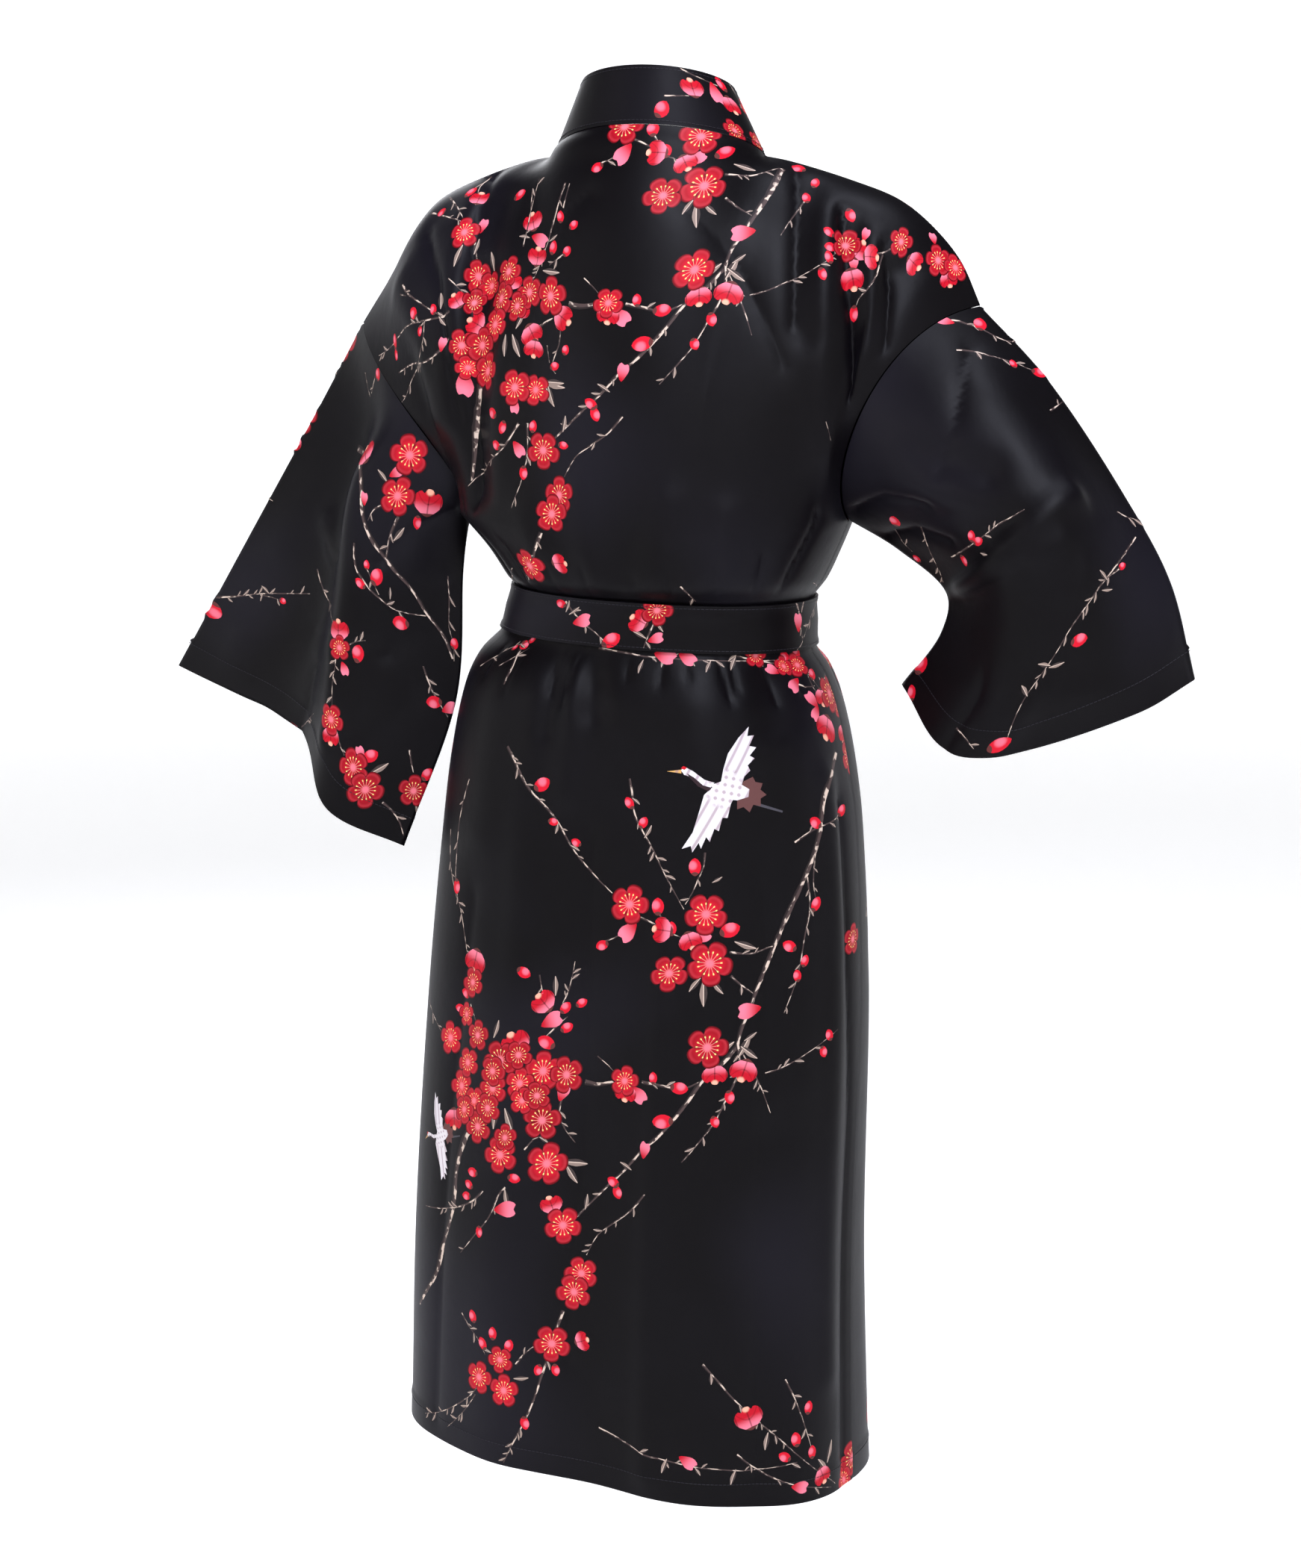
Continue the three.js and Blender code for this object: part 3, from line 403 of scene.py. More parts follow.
for side, name in ((1, "sleeve_left"), (-1, "sleeve_right")):
    grid = sleeveGrid(side)
    normals = gridNormals(grid, True, -side)
    count = grid.shape[1]
    columns = np.arange(count) * 2 * coat["chestRows"] / count
    backFold, frontFold = ((leftBackSleeveFolds, leftFrontSleeveFolds) if side > 0
                           else (rightBackSleeveFolds, rightFrontSleeveFolds))
    isBack = (columns < coat["chestRows"])[None, :]
    depth = np.where(isBack, foldDepth(backFold, grid), foldDepth(frontFold, grid)) * freeOfBelt(grid[..., 2])
    fromFold = np.minimum(columns % coat["chestRows"], coat["chestRows"] - columns % coat["chestRows"])
    down = np.linspace(0, coat["sleeveRounds"], fineness["sleeveRows"] + 1)
    depth = depth * ease(down, 0, 2)[:, None] * ease(fromFold, 0, 2)[None, :]
    panels[name] = {"grid": moved(grid, normals, depth), "closed": True, "out": -side}


def bandSide(side):
    seamLine = bandLine(side, "seam")
    free = bandLine(side, "free")
    bow = roundPoint(coat["underarm"], edgeAngle(coat["underarm"], side, coat["bandWidth"] / 2))
    bow = bow - (seamLine[-1] + free[-1]) / 2
    middle = (seamLine + free) / 2 + bow * ease(chestShares, 0, 1)[:, None]
    below = skirtHeights[1:]
    middle = np.concatenate([middle, roundPoint(below, edgeAngle(below, side, coat["bandWidth"] / 2))])
    free = np.concatenate([free, roundPoint(below, edgeAngle(below, side, coat["bandWidth"]))])
    lines = []
    for line in (middle, free):
        placed = line if side > 0 else tucked(line)
        depth = foldDepth(frontFolds, placed) * freeOfBelt(placed[:, 2]) * topFade
        lines.append(placed + inward(placed) * depth[:, None])
    seam = panels["front_left" if side > 0 else "front_right"]["grid"][:, -1]
    return np.stack([seam, *lines], 1)


def bandGrid():
    angles = np.linspace(-90, 90, fineness["neckRows"] + 1)[1:-1]
    seam, free = neckPoint(angles), bandTopPoint(angles)
    neck = np.stack([seam, (seam + free) / 2, free], 1)
    lines = np.concatenate([bandSide(-1)[::-1], neck, bandSide(1)])
    t = np.linspace(0, 1, fineness["bandColumns"] + 1)[None, :, None]
    first, middle, last = lines[:, :1], lines[:, 1:2], lines[:, 2:]
    return first * (2 * t - 1) * (t - 1) + middle * 4 * t * (1 - t) + last * t * (2 * t - 1)


panels["neckband"] = {"grid": bandGrid(), "closed": False, "out": 1}
for panel in panels.values():
    panel["normals"] = gridNormals(panel["grid"], panel["closed"], panel["out"])
for name in ("sleeve_left", "sleeve_right"):  # the seam of a sleeve runs along its bottom fold
    panel = panels[name]
    count = panel["grid"].shape[1]
    order = (np.arange(count + 1) + count // 2) % count
    panel["grid"], panel["normals"] = panel["grid"][:, order], panel["normals"][:, order]
print("cloth surfaces worked out")


# Nodes of a material: one method makes any node, and a wrapped socket takes part in Python expressions
class Wire:
    def __init__(self, tree, socket):
        self.tree, self.socket = tree, socket

    def math(self, operation, *values):
        return self.tree.node("ShaderNodeMath", {"operation": operation}, dict(enumerate(values)))

    def __add__(self, other):
        return self.math("ADD", self, other)

    def __radd__(self, other):
        return self.math("ADD", other, self)

    def __sub__(self, other):
        return self.math("SUBTRACT", self, other)

    def __rsub__(self, other):
        return self.math("SUBTRACT", other, self)

    def __mul__(self, other):
        return self.math("MULTIPLY", self, other)

    def __rmul__(self, other):
        return self.math("MULTIPLY", other, self)

    def __truediv__(self, other):
        return self.math("DIVIDE", self, other)

    def __rtruediv__(self, other):
        return self.math("DIVIDE", other, self)

    def __pow__(self, other):
        return self.math("POWER", self, other)

    def above(self, value):
        return self.math("GREATER_THAN", self, value)

    def below(self, value):
        return self.math("LESS_THAN", self, value)

    def equals(self, value):
        return self.math("COMPARE", self, value, 0.4)

    def size(self):
        return self.math("ABSOLUTE", self)

    def wave(self):
        return self.math("SINE", self)

    def saw(self):  # 1 at whole numbers, 0 half way between them
        return (self.math("FRACT", self) - 0.5).size() * 2

    def ramp(self, low, high):  # 0 below low, 1 above high, smooth between
        return self.tree.node("ShaderNodeMapRange", {"interpolation_type": "SMOOTHSTEP"},
                              {"Value": self, "From Min": low, "From Max": high})


class MaterialTree:
    def __init__(self, name):
        self.material = bpy.data.materials.new(name)
        self.material.use_nodes = True
        self.nodes = self.material.node_tree.nodes
        self.links = self.material.node_tree.links
        self.shader = self.nodes["Principled BSDF"]

    def node(self, kind, settings=None, values=None, output=0):
        made = self.nodes.new(kind)
        for key, value in (settings or {}).items():
            setattr(made, key, value)
        for key, value in (values or {}).items():
            self.fill(made.inputs[key], value)
        return Wire(self, made.outputs[output])

    def fill(self, socket, value):
        if isinstance(value, Wire):
            self.links.new(value.socket, socket)
        else:
            socket.default_value = value

    def mix(self, share, low, high):  # colours
        made = self.nodes.new("ShaderNodeMix")
        made.data_type = "RGBA"
        self.fill(made.inputs[0], share)
        self.fill(made.inputs[6], low)
        self.fill(made.inputs[7], high)
        return Wire(self, made.outputs[2])

    def split(self, vector):
        made = self.nodes.new("ShaderNodeSeparateXYZ")
        self.fill(made.inputs[0], vector)
        return [Wire(self, made.outputs[axis]) for axis in range(3)]

    def join(self, x, y, z):
        return self.node("ShaderNodeCombineXYZ", {}, {0: x, 1: y, 2: z})

    def set(self, **values):
        for key, value in values.items():
            self.fill(self.shader.inputs[key.replace("_", " ")], value)


def colour(red, green, blue):  # from display values of 0 to 255
    return tuple(value / 255 / 12.92 if value < 10.3 else ((value / 255 + 0.055) / 1.055) ** 2.4
                 for value in (red, green, blue)) + (1,)


blossom = {"petals": 5, "notch": 0.32, "stamens": 15}
kinds = {"open": 1, "side": 2, "bud": 3, "leaf": 4, "twig": 5, "crane": 6, "petal": 7}
dyes = {
    "petalIn": colour(208, 24, 46), "petalOut": colour(132, 8, 22), "petalGap": colour(64, 2, 10),
    "petalRim": colour(214, 62, 74), "heart": colour(232, 118, 132), "stamen": colour(250, 190, 160),
    "pollen": colour(255, 214, 130), "pink": colour(232, 120, 140), "cup": colour(186, 16, 36),
    "bud": colour(204, 20, 42), "calyx": colour(96, 48, 46), "leafDark": colour(64, 54, 52),
    "leafLight": colour(138, 120, 110), "vein": colour(206, 184, 168), "bark": colour(74, 60, 58),
    "barkLight": colour(208, 188, 172), "barkDark": colour(40, 32, 32), "feather": colour(146, 116, 128)}


def motifColour(tree, tint, kind, x, y):
    shade, other = tree.split(tint)[:2]
    far, angle = (x * x + y * y) ** 0.5, y.math("ARCTAN2", y, x)
    gap = (angle * (blossom["petals"] / (2 * math.pi))).saw()
    petal = tree.mix(far.ramp(0.4, 1), dyes["petalIn"], dyes["petalOut"])
    petal = tree.mix(shade * 0.7, petal, dyes["petalOut"])
    petal = tree.mix(gap.ramp(0.72, 1) * far.ramp(0.2, 0.45) * 0.85, petal, dyes["petalGap"])
    edge = far / (1 - blossom["notch"] * gap**3)
    petal = tree.mix(edge.ramp(0.7, 0.86) * (1 - edge.ramp(0.86, 0.94)) * 0.35, petal, dyes["petalRim"])
    petal = tree.mix(edge.ramp(0.9, 0.99) * 0.75, petal, dyes["petalGap"])
    spoke = (angle * (blossom["stamens"] / (2 * math.pi)) + other).saw()
    petal = tree.mix((1 - far.ramp(0.1, 0.28)) * 0.9, petal, dyes["heart"])
    stamen = spoke.ramp(0.8, 0.92) * far.ramp(0.12, 0.24) * (1 - far.ramp(0.4, 0.48)) * 0.7
    petal = tree.mix(stamen, petal, dyes["stamen"])
    pollen = spoke.ramp(0.62, 0.8) * far.ramp(0.42, 0.47) * (1 - far.ramp(0.5, 0.56))
    petal = tree.mix(pollen, petal, dyes["pollen"])

    cup = tree.mix(y.ramp(-0.5, 0.25), dyes["pink"], dyes["cup"])
    fold = (x * 1.1).saw().ramp(0.8, 1) + (y - x * x).size().ramp(0.1, 0) * 0.6
    cup = tree.mix(fold * 0.6, cup, dyes["petalGap"])
    cup = tree.mix((x * x + (y - 0.8) * (y - 0.8)).ramp(0.12, 0.02) * 0.8, cup, dyes["stamen"])
    cup = tree.mix(y.below(-0.58), cup, dyes["calyx"])

    shine = (x * x + (y - 0.2) * (y - 0.2) + x * 0.5).ramp(0.3, -0.05) * 0.8
    bud = tree.mix(shine, dyes["bud"], dyes["pink"])
    bud = tree.mix((y + 0.5 + x * x).below(0), bud, dyes["calyx"])

    leaf = tree.mix(x.above(0), dyes["leafDark"], dyes["leafLight"])
    leaf = tree.mix(x.size().below(0.035), leaf, dyes["vein"])

    patches = tree.node("ShaderNodeTexNoise", {"noise_dimensions": "2D"},
                        {"Vector": tree.join(x * 1.1 + shade * 90, y * 0.35, 0), "Scale": 1, "Detail": 2})
    twig = tree.mix(y.ramp(-0.5, 0.1), dyes["barkDark"], dyes["bark"])
    twig = tree.mix(patches.ramp(0.5, 0.6) * (y + 0.3).ramp(-0.2, 0.3), twig, dyes["barkLight"])

    away = x * x + y * y
    quill = (x * 34 - y * 18).wave().ramp(0.45, 0.95) * away.ramp(0.05, 0.12)
    scale = ((x * 30 + y * 22).wave() * (y * 30 - x * 22).wave()).ramp(0.3, 0.75) * away.ramp(0.14, 0.05)
    bird = tree.mix((quill + scale) * 0.6 * shade.above(0.5), tint, dyes["feather"])

    fallen = tree.mix(y.ramp(-0.9, 0.6) + x * 0.2, dyes["cup"], dyes["pink"])
    looks = {"side": cup, "bud": bud, "leaf": leaf, "twig": twig, "crane": bird, "petal": fallen}
    result = petal
    for name, look in looks.items():
        result = tree.mix(kind.equals(kinds[name]), result, look)
    return result


# ground and worn are the cloth's own colour; glow is painted sheen, a lighter bluish colour laid over the
# cloth in broad random patches
cotton = {
    "ground": colour(6, 4, 6), "worn": colour(10, 8, 12), "glow": colour(25, 23, 31), "roughness": 0.36,
    "weaveRoughness": 0.08, "cloudRoughness": 0.1, "sheen": 0.01, "sheenTint": colour(170, 170, 215),
    "specular": 0.1, "threadsPerMetre": 2400, "threadHeight": 0.00006, "wrinkle": 0.0012, "wrinkleScale": 16,
    "cloudScale": 9, "paintedSheenScale": 3.1, "printInside": 0.25}


def cottonMaterial(name, values):
    tree = MaterialTree(name)
    place = tree.node("ShaderNodeUVMap", {"uv_map": "cloth"})
    across, down, _ = tree.split(place)
    turns = values["threadsPerMetre"] * math.pi
    weave = (across * turns).wave() * (down * turns).wave() * 0.5 + 0.5
    cloudy = tree.node("ShaderNodeTexNoise", {},
                       {"Vector": place, "Scale": values["cloudScale"], "Detail": 3})
    ground = tree.mix(cloudy.ramp(0.4, 0.7) * 0.6, values["ground"], values["worn"])
    # painted sheen: broad random patches of the lighter, bluish glow colour laid into the cloth's base colour
    paintedSheenPatches = tree.node("ShaderNodeTexNoise", {}, {"Vector": place, "Scale": values["paintedSheenScale"], "Detail": 1})
    ground = tree.mix(paintedSheenPatches.ramp(0.48, 0.72) * 0.8, ground, values["glow"])
    paint = tree.node("ShaderNodeAttribute", {"attribute_name": "print"})
    mask = Wire(tree, paint.socket.node.outputs["Alpha"])
    x, y, kind = tree.split(tree.node("ShaderNodeAttribute", {"attribute_name": "motif"}, output=1))
    base = tree.mix(mask, ground, motifColour(tree, paint, kind, x, y))
    tree.set(Base_Color=base,
             Roughness=weave * values["weaveRoughness"] + cloudy * values["cloudRoughness"]
             + values["roughness"],
             Sheen_Weight=values["sheen"], Sheen_Roughness=0.4, Sheen_Tint=values["sheenTint"],
             Specular_IOR_Level=values["specular"])
    rumpled = tree.node("ShaderNodeTexNoise", {},
                        {"Vector": place, "Scale": values["wrinkleScale"], "Detail": 4, "Roughness": 0.55})
    soft = tree.node("ShaderNodeBump", {},
                     {"Height": rumpled, "Strength": 0.6, "Distance": values["wrinkle"]})
    fine = tree.node("ShaderNodeBump", {},
                     {"Height": weave, "Strength": 0.2, "Distance": values["threadHeight"], "Normal": soft})
    tree.set(Normal=fine)
    return tree.material


clothMaterial = cottonMaterial("printed cotton", cotton)
bandMaterial = cottonMaterial("band cotton", cotton)
beltMaterial = cottonMaterial("belt cotton", cotton)


# A sheet of cloth: triangles cut along the outlines of its print, with an inner side and closed edges
def printedSheet(flat, step, hemWidth):
    return {"flat": flat, "step": step, "hemWidth": hemWidth, "material": clothMaterial,
            "slot": "printed_cotton", "seams": ("left", "right", "top"), "hems": ("bottom",)}


def beltSheet(flat):
    return {"flat": flat, "step": 6, "material": beltMaterial, "slot": "belt_cotton"}


sheets = {
    "back": printedSheet((630, 1100), 5, 20),
    "front_left": printedSheet((300, 1090), 5, 20), "front_right": printedSheet((300, 1090), 5, 20),
    "sleeve_left": printedSheet((640, 335), 4.8, 25), "sleeve_right": printedSheet((640, 335), 4.8, 25),
    "neckband": {"flat": (50, 2500), "step": 5, "material": bandMaterial, "slot": "band_cotton",
                 "seams": ("left",)},
    "belt": beltSheet((760, 38)), "belt_end_left": beltSheet((38, 262)),
    "belt_end_right": beltSheet((38, 240))}
sewing = {"seamDip": 0.7, "seamHalf": 1.7, "hemRise": 0.6, "hemSlope": 1.5, "seamLines": (1.6, 3.4),
          "hemLine": 1.6, "corner": 3, "creaseFade": 9}


def readGrid(values, row, column):
    row, column = np.clip(row, 0, values.shape[0] - 1), np.clip(column, 0, values.shape[1] - 1)
    r0 = np.minimum(row.astype(int), values.shape[0] - 2)
    c0 = np.minimum(column.astype(int), values.shape[1] - 2)
    r, c = (row - r0)[:, None], (column - c0)[:, None]
    return (values[r0, c0] * (1 - r) * (1 - c) + values[r0 + 1, c0] * r * (1 - c)
            + values[r0, c0 + 1] * (1 - r) * c + values[r0 + 1, c0 + 1] * r * c)


def rowPlaces(grid, length):
    steps = np.linalg.norm(np.diff(grid, axis=0), axis=-1).mean(1)
    places = np.concatenate([[0], np.cumsum(steps)])
    return places * length / places[-1]


# Sharp creases on a sheet, in millimetres across and down it: half width, depth, points
creases = {
    "back": [
        (7, 6, [(459, 2), (461, 67), (468, 94), (482, 153), (500, 216), (521, 283)]),
        (6, 5, [(517, 43), (507, 100), (507, 157), (519, 212)]),
        (20, -4, [(560, 60), (548, 130), (560, 200)]), (6, 3, [(199, 0), (174, 79), (151, 140)]),
        (7, 6.5, [(144, 43), (109, 97), (64, 128), (32, 142)]),
        (6, 4.5, [(93, 51), (55, 66), (20, 84)]), (16, -4, [(120, 40), (84, 78), (44, 108)]),
        (8, 4.5, [(42, 540), (37, 678), (22, 800), (20, 1090)]),
        (16, -3, [(62, 520), (60, 700), (50, 1000)]),
        (22, -3, [(405, 416), (403, 467), (412, 529), (405, 674)]), (5, 3, [(398, 412), (392, 446)]),
        (5, 3.5, [(382, 412), (379, 456)]), (5, 3, [(366, 412), (371, 440)]),
        (5, 3, [(178, 412), (171, 446)]), (5, 3, [(162, 412), (160, 436)]),
        (5, 2, [(300, 412), (297, 428)]), (5, 2, [(250, 412), (254, 432)]),
        (5, 2.5, [(452, 412), (456, 450)]), (5, 2.5, [(118, 412), (112, 448)]),
        (5, 2.5, [(500, 412), (508, 440)]), (5, 2.5, [(76, 412), (70, 442)]),
        (5, 2, [(222, 412), (220, 426)]), (6, 2.5, [(420, 330), (414, 368)]),
        (6, 2.5, [(366, 336), (368, 368)]), (6, 2, [(306, 342), (304, 368)]),
        (6, 2.5, [(252, 338), (256, 368)]), (6, 2.5, [(196, 330), (200, 368)]),
        (6, 3, [(140, 322), (150, 368)]), (6, 3, [(484, 320), (470, 368)]),
        (6, 3.5, [(560, 280), (530, 330), (512, 368)]), (6, 3.5, [(72, 280), (96, 330), (110, 368)]),
        (9, 2.5, [(340, 60), (420, 130), (470, 180)]), (9, 2.5, [(290, 60), (210, 120), (150, 170)]),
        (14, 3, [(330, 560), (322, 760), (326, 1000)]), (14, -3, [(250, 640), (246, 860), (240, 1080)]),
        (14, 3, [(470, 620), (478, 840), (480, 1080)]), (12, 3, [(150, 600), (140, 820), (132, 1080)])],
    "front_left": [
        (7, 5, [(40, 110), (70, 170), (110, 220)]), (6, 4, [(30, 180), (70, 230), (120, 262)]),
        (6, 3, [(60, 300), (80, 350), (84, 372)]), (6, 3, [(120, 310), (124, 372)]),
        (6, 3, [(176, 300), (170, 372)]), (5, 3, [(50, 414), (44, 450)]),
        (5, 3, [(96, 414), (92, 446)]), (5, 3, [(140, 414), (146, 452)]),
        (5, 2.5, [(196, 414), (200, 440)]), (13, 4, [(90, 470), (76, 700), (70, 1080)]),
        (16, -4, [(150, 500), (160, 760), (170, 1080)]), (12, 3, [(220, 520), (226, 800), (230, 1080)])],
    "front_right": [
        (7, 5, [(44, 100), (76, 160), (118, 214)]), (6, 4, [(28, 170), (66, 224), (108, 262)]),
        (6, 3, [(54, 300), (70, 350), (76, 372)]), (6, 3, [(112, 306), (110, 372)]),
        (6, 3, [(180, 300), (182, 372)]), (5, 3, [(44, 414), (38, 446)]),
        (5, 3, [(88, 414), (90, 450)]), (5, 3, [(150, 414), (144, 448)]),
        (13, 4, [(80, 470), (70, 700), (62, 1080)]), (16, -4, [(140, 500), (146, 760), (150, 1080)])],
    "sleeve_right": [
        (12, -5, [(637, 184), (560, 178), (493, 174), (397, 171)]),
        (9, 4, [(620, 204), (560, 196), (480, 192)]), (10, 3, [(497, 86), (440, 72), (370, 37)]),
        (6, 4, [(606, 16), (560, 50), (536, 92)]), (7, 3.5, [(630, 60), (585, 92), (556, 132)]),
        (14, -3, [(420, 220), (470, 270), (500, 325)]), (10, 3, [(560, 240), (545, 290), (552, 332)]),
        (7, 4, [(30, 40), (80, 80), (110, 130)]), (8, 4, [(20, 180), (120, 172), (230, 168)]),
        (12, -3, [(150, 230), (160, 280), (170, 330)]), (9, 3, [(230, 60), (260, 120), (266, 180)])],
    "sleeve_left": [
        (12, -4, [(397, 146), (483, 182), (520, 241), (530, 300)]),
        (8, 3.5, [(604, 22), (566, 70), (540, 124)]), (8, 3, [(624, 90), (586, 140), (566, 200)]),
        (10, 3, [(430, 70), (450, 150), (440, 230)]), (7, 3.5, [(30, 30), (80, 80), (100, 140)]),
        (12, 4, [(110, 120), (130, 220), (140, 330)]), (14, -3, [(220, 100), (240, 200), (236, 330)]),
        (8, 3, [(470, 260), (480, 300), (478, 332)])],
}


def addPiece(name, mesh):
    piece = bpy.data.objects.new(name, mesh)
    bpy.context.scene.collection.objects.link(piece)
    return piece


def lineDistance(places, line):
    best = np.full(places.shape[:-1], np.inf)
    for (x0, y0), (x1, y1) in zip(line[:-1], line[1:]):
        way = np.array([x1 - x0, y1 - y0], float)
        share = np.clip(((places - (x0, y0)) @ way) / (way @ way), 0, 1)
        best = np.minimum(best, np.linalg.norm(places - (x0, y0) - share[..., None] * way, axis=-1))
    return best


for name, lines in creases.items():
    panel, (width, length) = panels[name], sheets[name]["flat"]
    rows = rowPlaces(panel["grid"], length)
    places = np.stack(np.meshgrid(np.linspace(0, width, panel["grid"].shape[1]), rows), -1)
    depth = np.zeros(places.shape[:-1])
    for half, deep, line in lines:
        distance = lineDistance(places, line)
        depth += deep * (np.exp(-distance / half) if deep > 0 else np.exp(-(distance / half) ** 2))
    fade = ease(np.minimum(places[..., 0], width - places[..., 0]), 0, sewing["creaseFade"])
    fade = fade * ease(places[..., 1], 0, sewing["creaseFade"])
    depth *= fade * freeOfBelt(panel["grid"][..., 2])
    panel["grid"] = moved(panel["grid"], panel["normals"], depth)
    if panel["closed"]:
        normals = gridNormals(panel["grid"][:, :-1], True, panel["out"])
        panel["normals"] = np.concatenate([normals, normals[:, :1]], 1)
    else:
        panel["normals"] = gridNormals(panel["grid"], False, panel["out"])


def edgeRise(flat, values):  # seams dip a little and hems stand up by their folded cloth
    width, length = values["flat"]
    away = {"left": flat[:, 0], "right": width - flat[:, 0], "top": flat[:, 1], "bottom": length - flat[:, 1]}
    rise = np.zeros(len(flat))
    for edge in values.get("seams", ()):
        rise -= sewing["seamDip"] * np.exp(-(away[edge] / sewing["seamHalf"]) ** 2)
    for edge in values.get("hems", ()):
        hem = values["hemWidth"]
        rise += sewing["hemRise"] * (1 - ease(away[edge], hem, hem + sewing["hemSlope"]))
    return rise


def edgeLines(values):  # rows of points where the cloth dips or steps
    width, length = values["flat"]
    hem = values.get("hemWidth", 0)
    rows = [(edge, gap) for edge in values.get("seams", ()) for gap in sewing["seamLines"]]
    rows += [(edge, gap) for edge in values.get("hems", ()) for gap in (hem, hem + sewing["hemLine"])]
    corner, points = sewing["corner"], []
    for edge, gap in rows:
        if edge in ("left", "right"):
            x = gap if edge == "left" else width - gap
            points += [(x, y) for y in np.arange(corner, length - corner + 1, values["step"])]
        else:
            y = gap if edge == "top" else length - gap
            points += [(x, y) for x in np.arange(corner, width - corner + 1, values["step"])]
    return points


def startPoints(width, length, step):
    countAcross, countDown = max(round(width / step), 2), max(round(length / step), 2)
    x, y = np.linspace(0, width, countAcross + 1), np.linspace(0, length, countDown + 1)
    edge = [(u, 0) for u in x[:-1]] + [(width, v) for v in y[:-1]]
    edge += [(u, length) for u in x[:0:-1]] + [(0, v) for v in y[:0:-1]]
    inside = [(u, v) for v in y[1:-1] for u in x[1:-1]]
    return edge, inside


def ring(start, count):
    return [(start + step, start + (step + 1) % count) for step in range(count)]


def within(places, outline):  # by the number of turns of the outline round each place
    near = np.nonzero(((places > outline.min(0)) & (places < outline.max(0))).all(1))[0]
    x, y = places[near, 0, None], places[near, 1, None]
    x0, y0 = outline[:, 0], outline[:, 1]
    x1, y1 = np.roll(x0, -1), np.roll(y0, -1)
    side = (x1 - x0) * (y - y0) - (x - x0) * (y1 - y0)
    turns = ((y0 <= y) & (y1 > y) & (side > 0)).sum(1) - ((y0 > y) & (y1 <= y) & (side < 0)).sum(1)
    return near[turns != 0]


def clothPiece(name, motifs=()):
    values, panel = sheets[name], panels[name]
    width, length = values["flat"]
    grid, normals = panel["grid"], panel["normals"]
    edge, inside = startPoints(width, length, values["step"])
    points, edges = list(edge), ring(0, len(edge))
    for motif in motifs:
        edges += ring(len(points), len(motif["points"]))
        points += [tuple(point) for point in motif["points"]]
    points += inside + edgeLines(values)
    flat, _, triangles, _, _, _ = delaunay_2d_cdt([Vector(point) for point in points], edges, [], 0, 1e-4,
                                                  False)
    flat = np.array([tuple(point) for point in flat])
    triangles = np.array([tri for tri in triangles if len(tri) == 3])
    middles = flat[triangles].mean(1)
    kept = ((middles > 0) & (middles < (width, length))).all(1)
    triangles, middles = triangles[kept], middles[kept]
    top = np.zeros(len(triangles), int)
    for number, motif in enumerate(motifs, start=1):
        top[within(middles, motif["points"])] = number
    used = np.unique(triangles)
    renumber = np.full(len(flat), -1)
    renumber[used] = np.arange(len(used))
    flat, triangles = flat[used], renumber[triangles]
    row = np.interp(flat[:, 1], rowPlaces(grid, length), np.arange(grid.shape[0]))
    column = flat[:, 0] / width * (grid.shape[1] - 1)
    place, normal = readGrid(grid, row, column), readGrid(normals, row, column)
    normal /= np.linalg.norm(normal, axis=1, keepdims=True)
    a, b, c = (place[triangles[:, k]] for k in range(3))
    if (np.cross(b - a, c - a) * normal[triangles[:, 0]]).sum() < 0:
        triangles = triangles[:, ::-1]
    thickness = values.get("thickness", coat["clothThickness"])
    rise = values.get("rise", 0)
    outer = place + normal * (rise + edgeRise(flat, values))[:, None]
    inner = place + normal * (rise - thickness)
    count = len(outer)
    pairs = np.concatenate([triangles[:, [0, 1]], triangles[:, [1, 2]], triangles[:, [2, 0]]])
    keys = np.sort(pairs, axis=1)
    _, index, repeats = np.unique(keys, axis=0, return_index=True, return_counts=True)
    rim = pairs[index[repeats == 1]]
    rimFaces = np.stack([rim[:, 1], rim[:, 0], rim[:, 0] + count, rim[:, 1] + count], 1)
    rimTriangles = np.concatenate([rimFaces[:, [0, 1, 2]], rimFaces[:, [0, 2, 3]]])
    allTriangles = np.concatenate([triangles, triangles[:, ::-1] + count, rimTriangles])
    allPoints = np.concatenate([outer, inner]) / 1000
    mesh = bpy.data.meshes.new(name)
    mesh.from_pydata(allPoints.tolist(), [], allTriangles.tolist())
    mesh.materials.append(values["material"])
    corners = allTriangles.ravel()
    uvs = np.concatenate([flat, flat])[corners] / 1000
    mesh.uv_layers.new(name="cloth").data.foreach_set("uv", uvs.astype(np.float32).ravel())
    rimNormals = np.cross(allPoints[rimTriangles[:, 1]] - allPoints[rimTriangles[:, 0]],
                          allPoints[rimTriangles[:, 2]] - allPoints[rimTriangles[:, 0]])
    rimNormals /= np.maximum(np.linalg.norm(rimNormals, axis=1, keepdims=True), 1e-12)
    cornerNormals = np.concatenate([normal[triangles.ravel()], -normal[triangles[:, ::-1].ravel()],
                                    np.repeat(rimNormals, 3, axis=0)])
    mesh.normals_split_custom_set(cornerNormals.tolist())
    paintPrint(mesh, motifs, flat, triangles, top, len(rimTriangles))
    print(name, "has", len(allTriangles), "triangles")
    return addPiece(name + "_cloth", mesh)


def twigPlaces(motif, flat):  # along and across a twig, for points on it
    at = flat * motif["scale"]
    line = motif["line"]
    nearest = np.empty(len(at), int)
    for start in range(0, len(at), 2000):
        gaps = np.linalg.norm(at[start:start + 2000, None] - line[None], axis=2)
        nearest[start:start + 2000] = gaps.argmin(1)
    offset = at - line[nearest]
    direction = motif["across"][nearest]
    along = np.stack([direction[:, 1], -direction[:, 0]], 1)
    lengths = np.concatenate([[0], np.cumsum(np.linalg.norm(np.diff(line, axis=0), axis=1))])
    return np.stack([(lengths[nearest] + (offset * along).sum(1)) / 10,
                     (offset * direction).sum(1) / motif["half"][nearest]], 1)


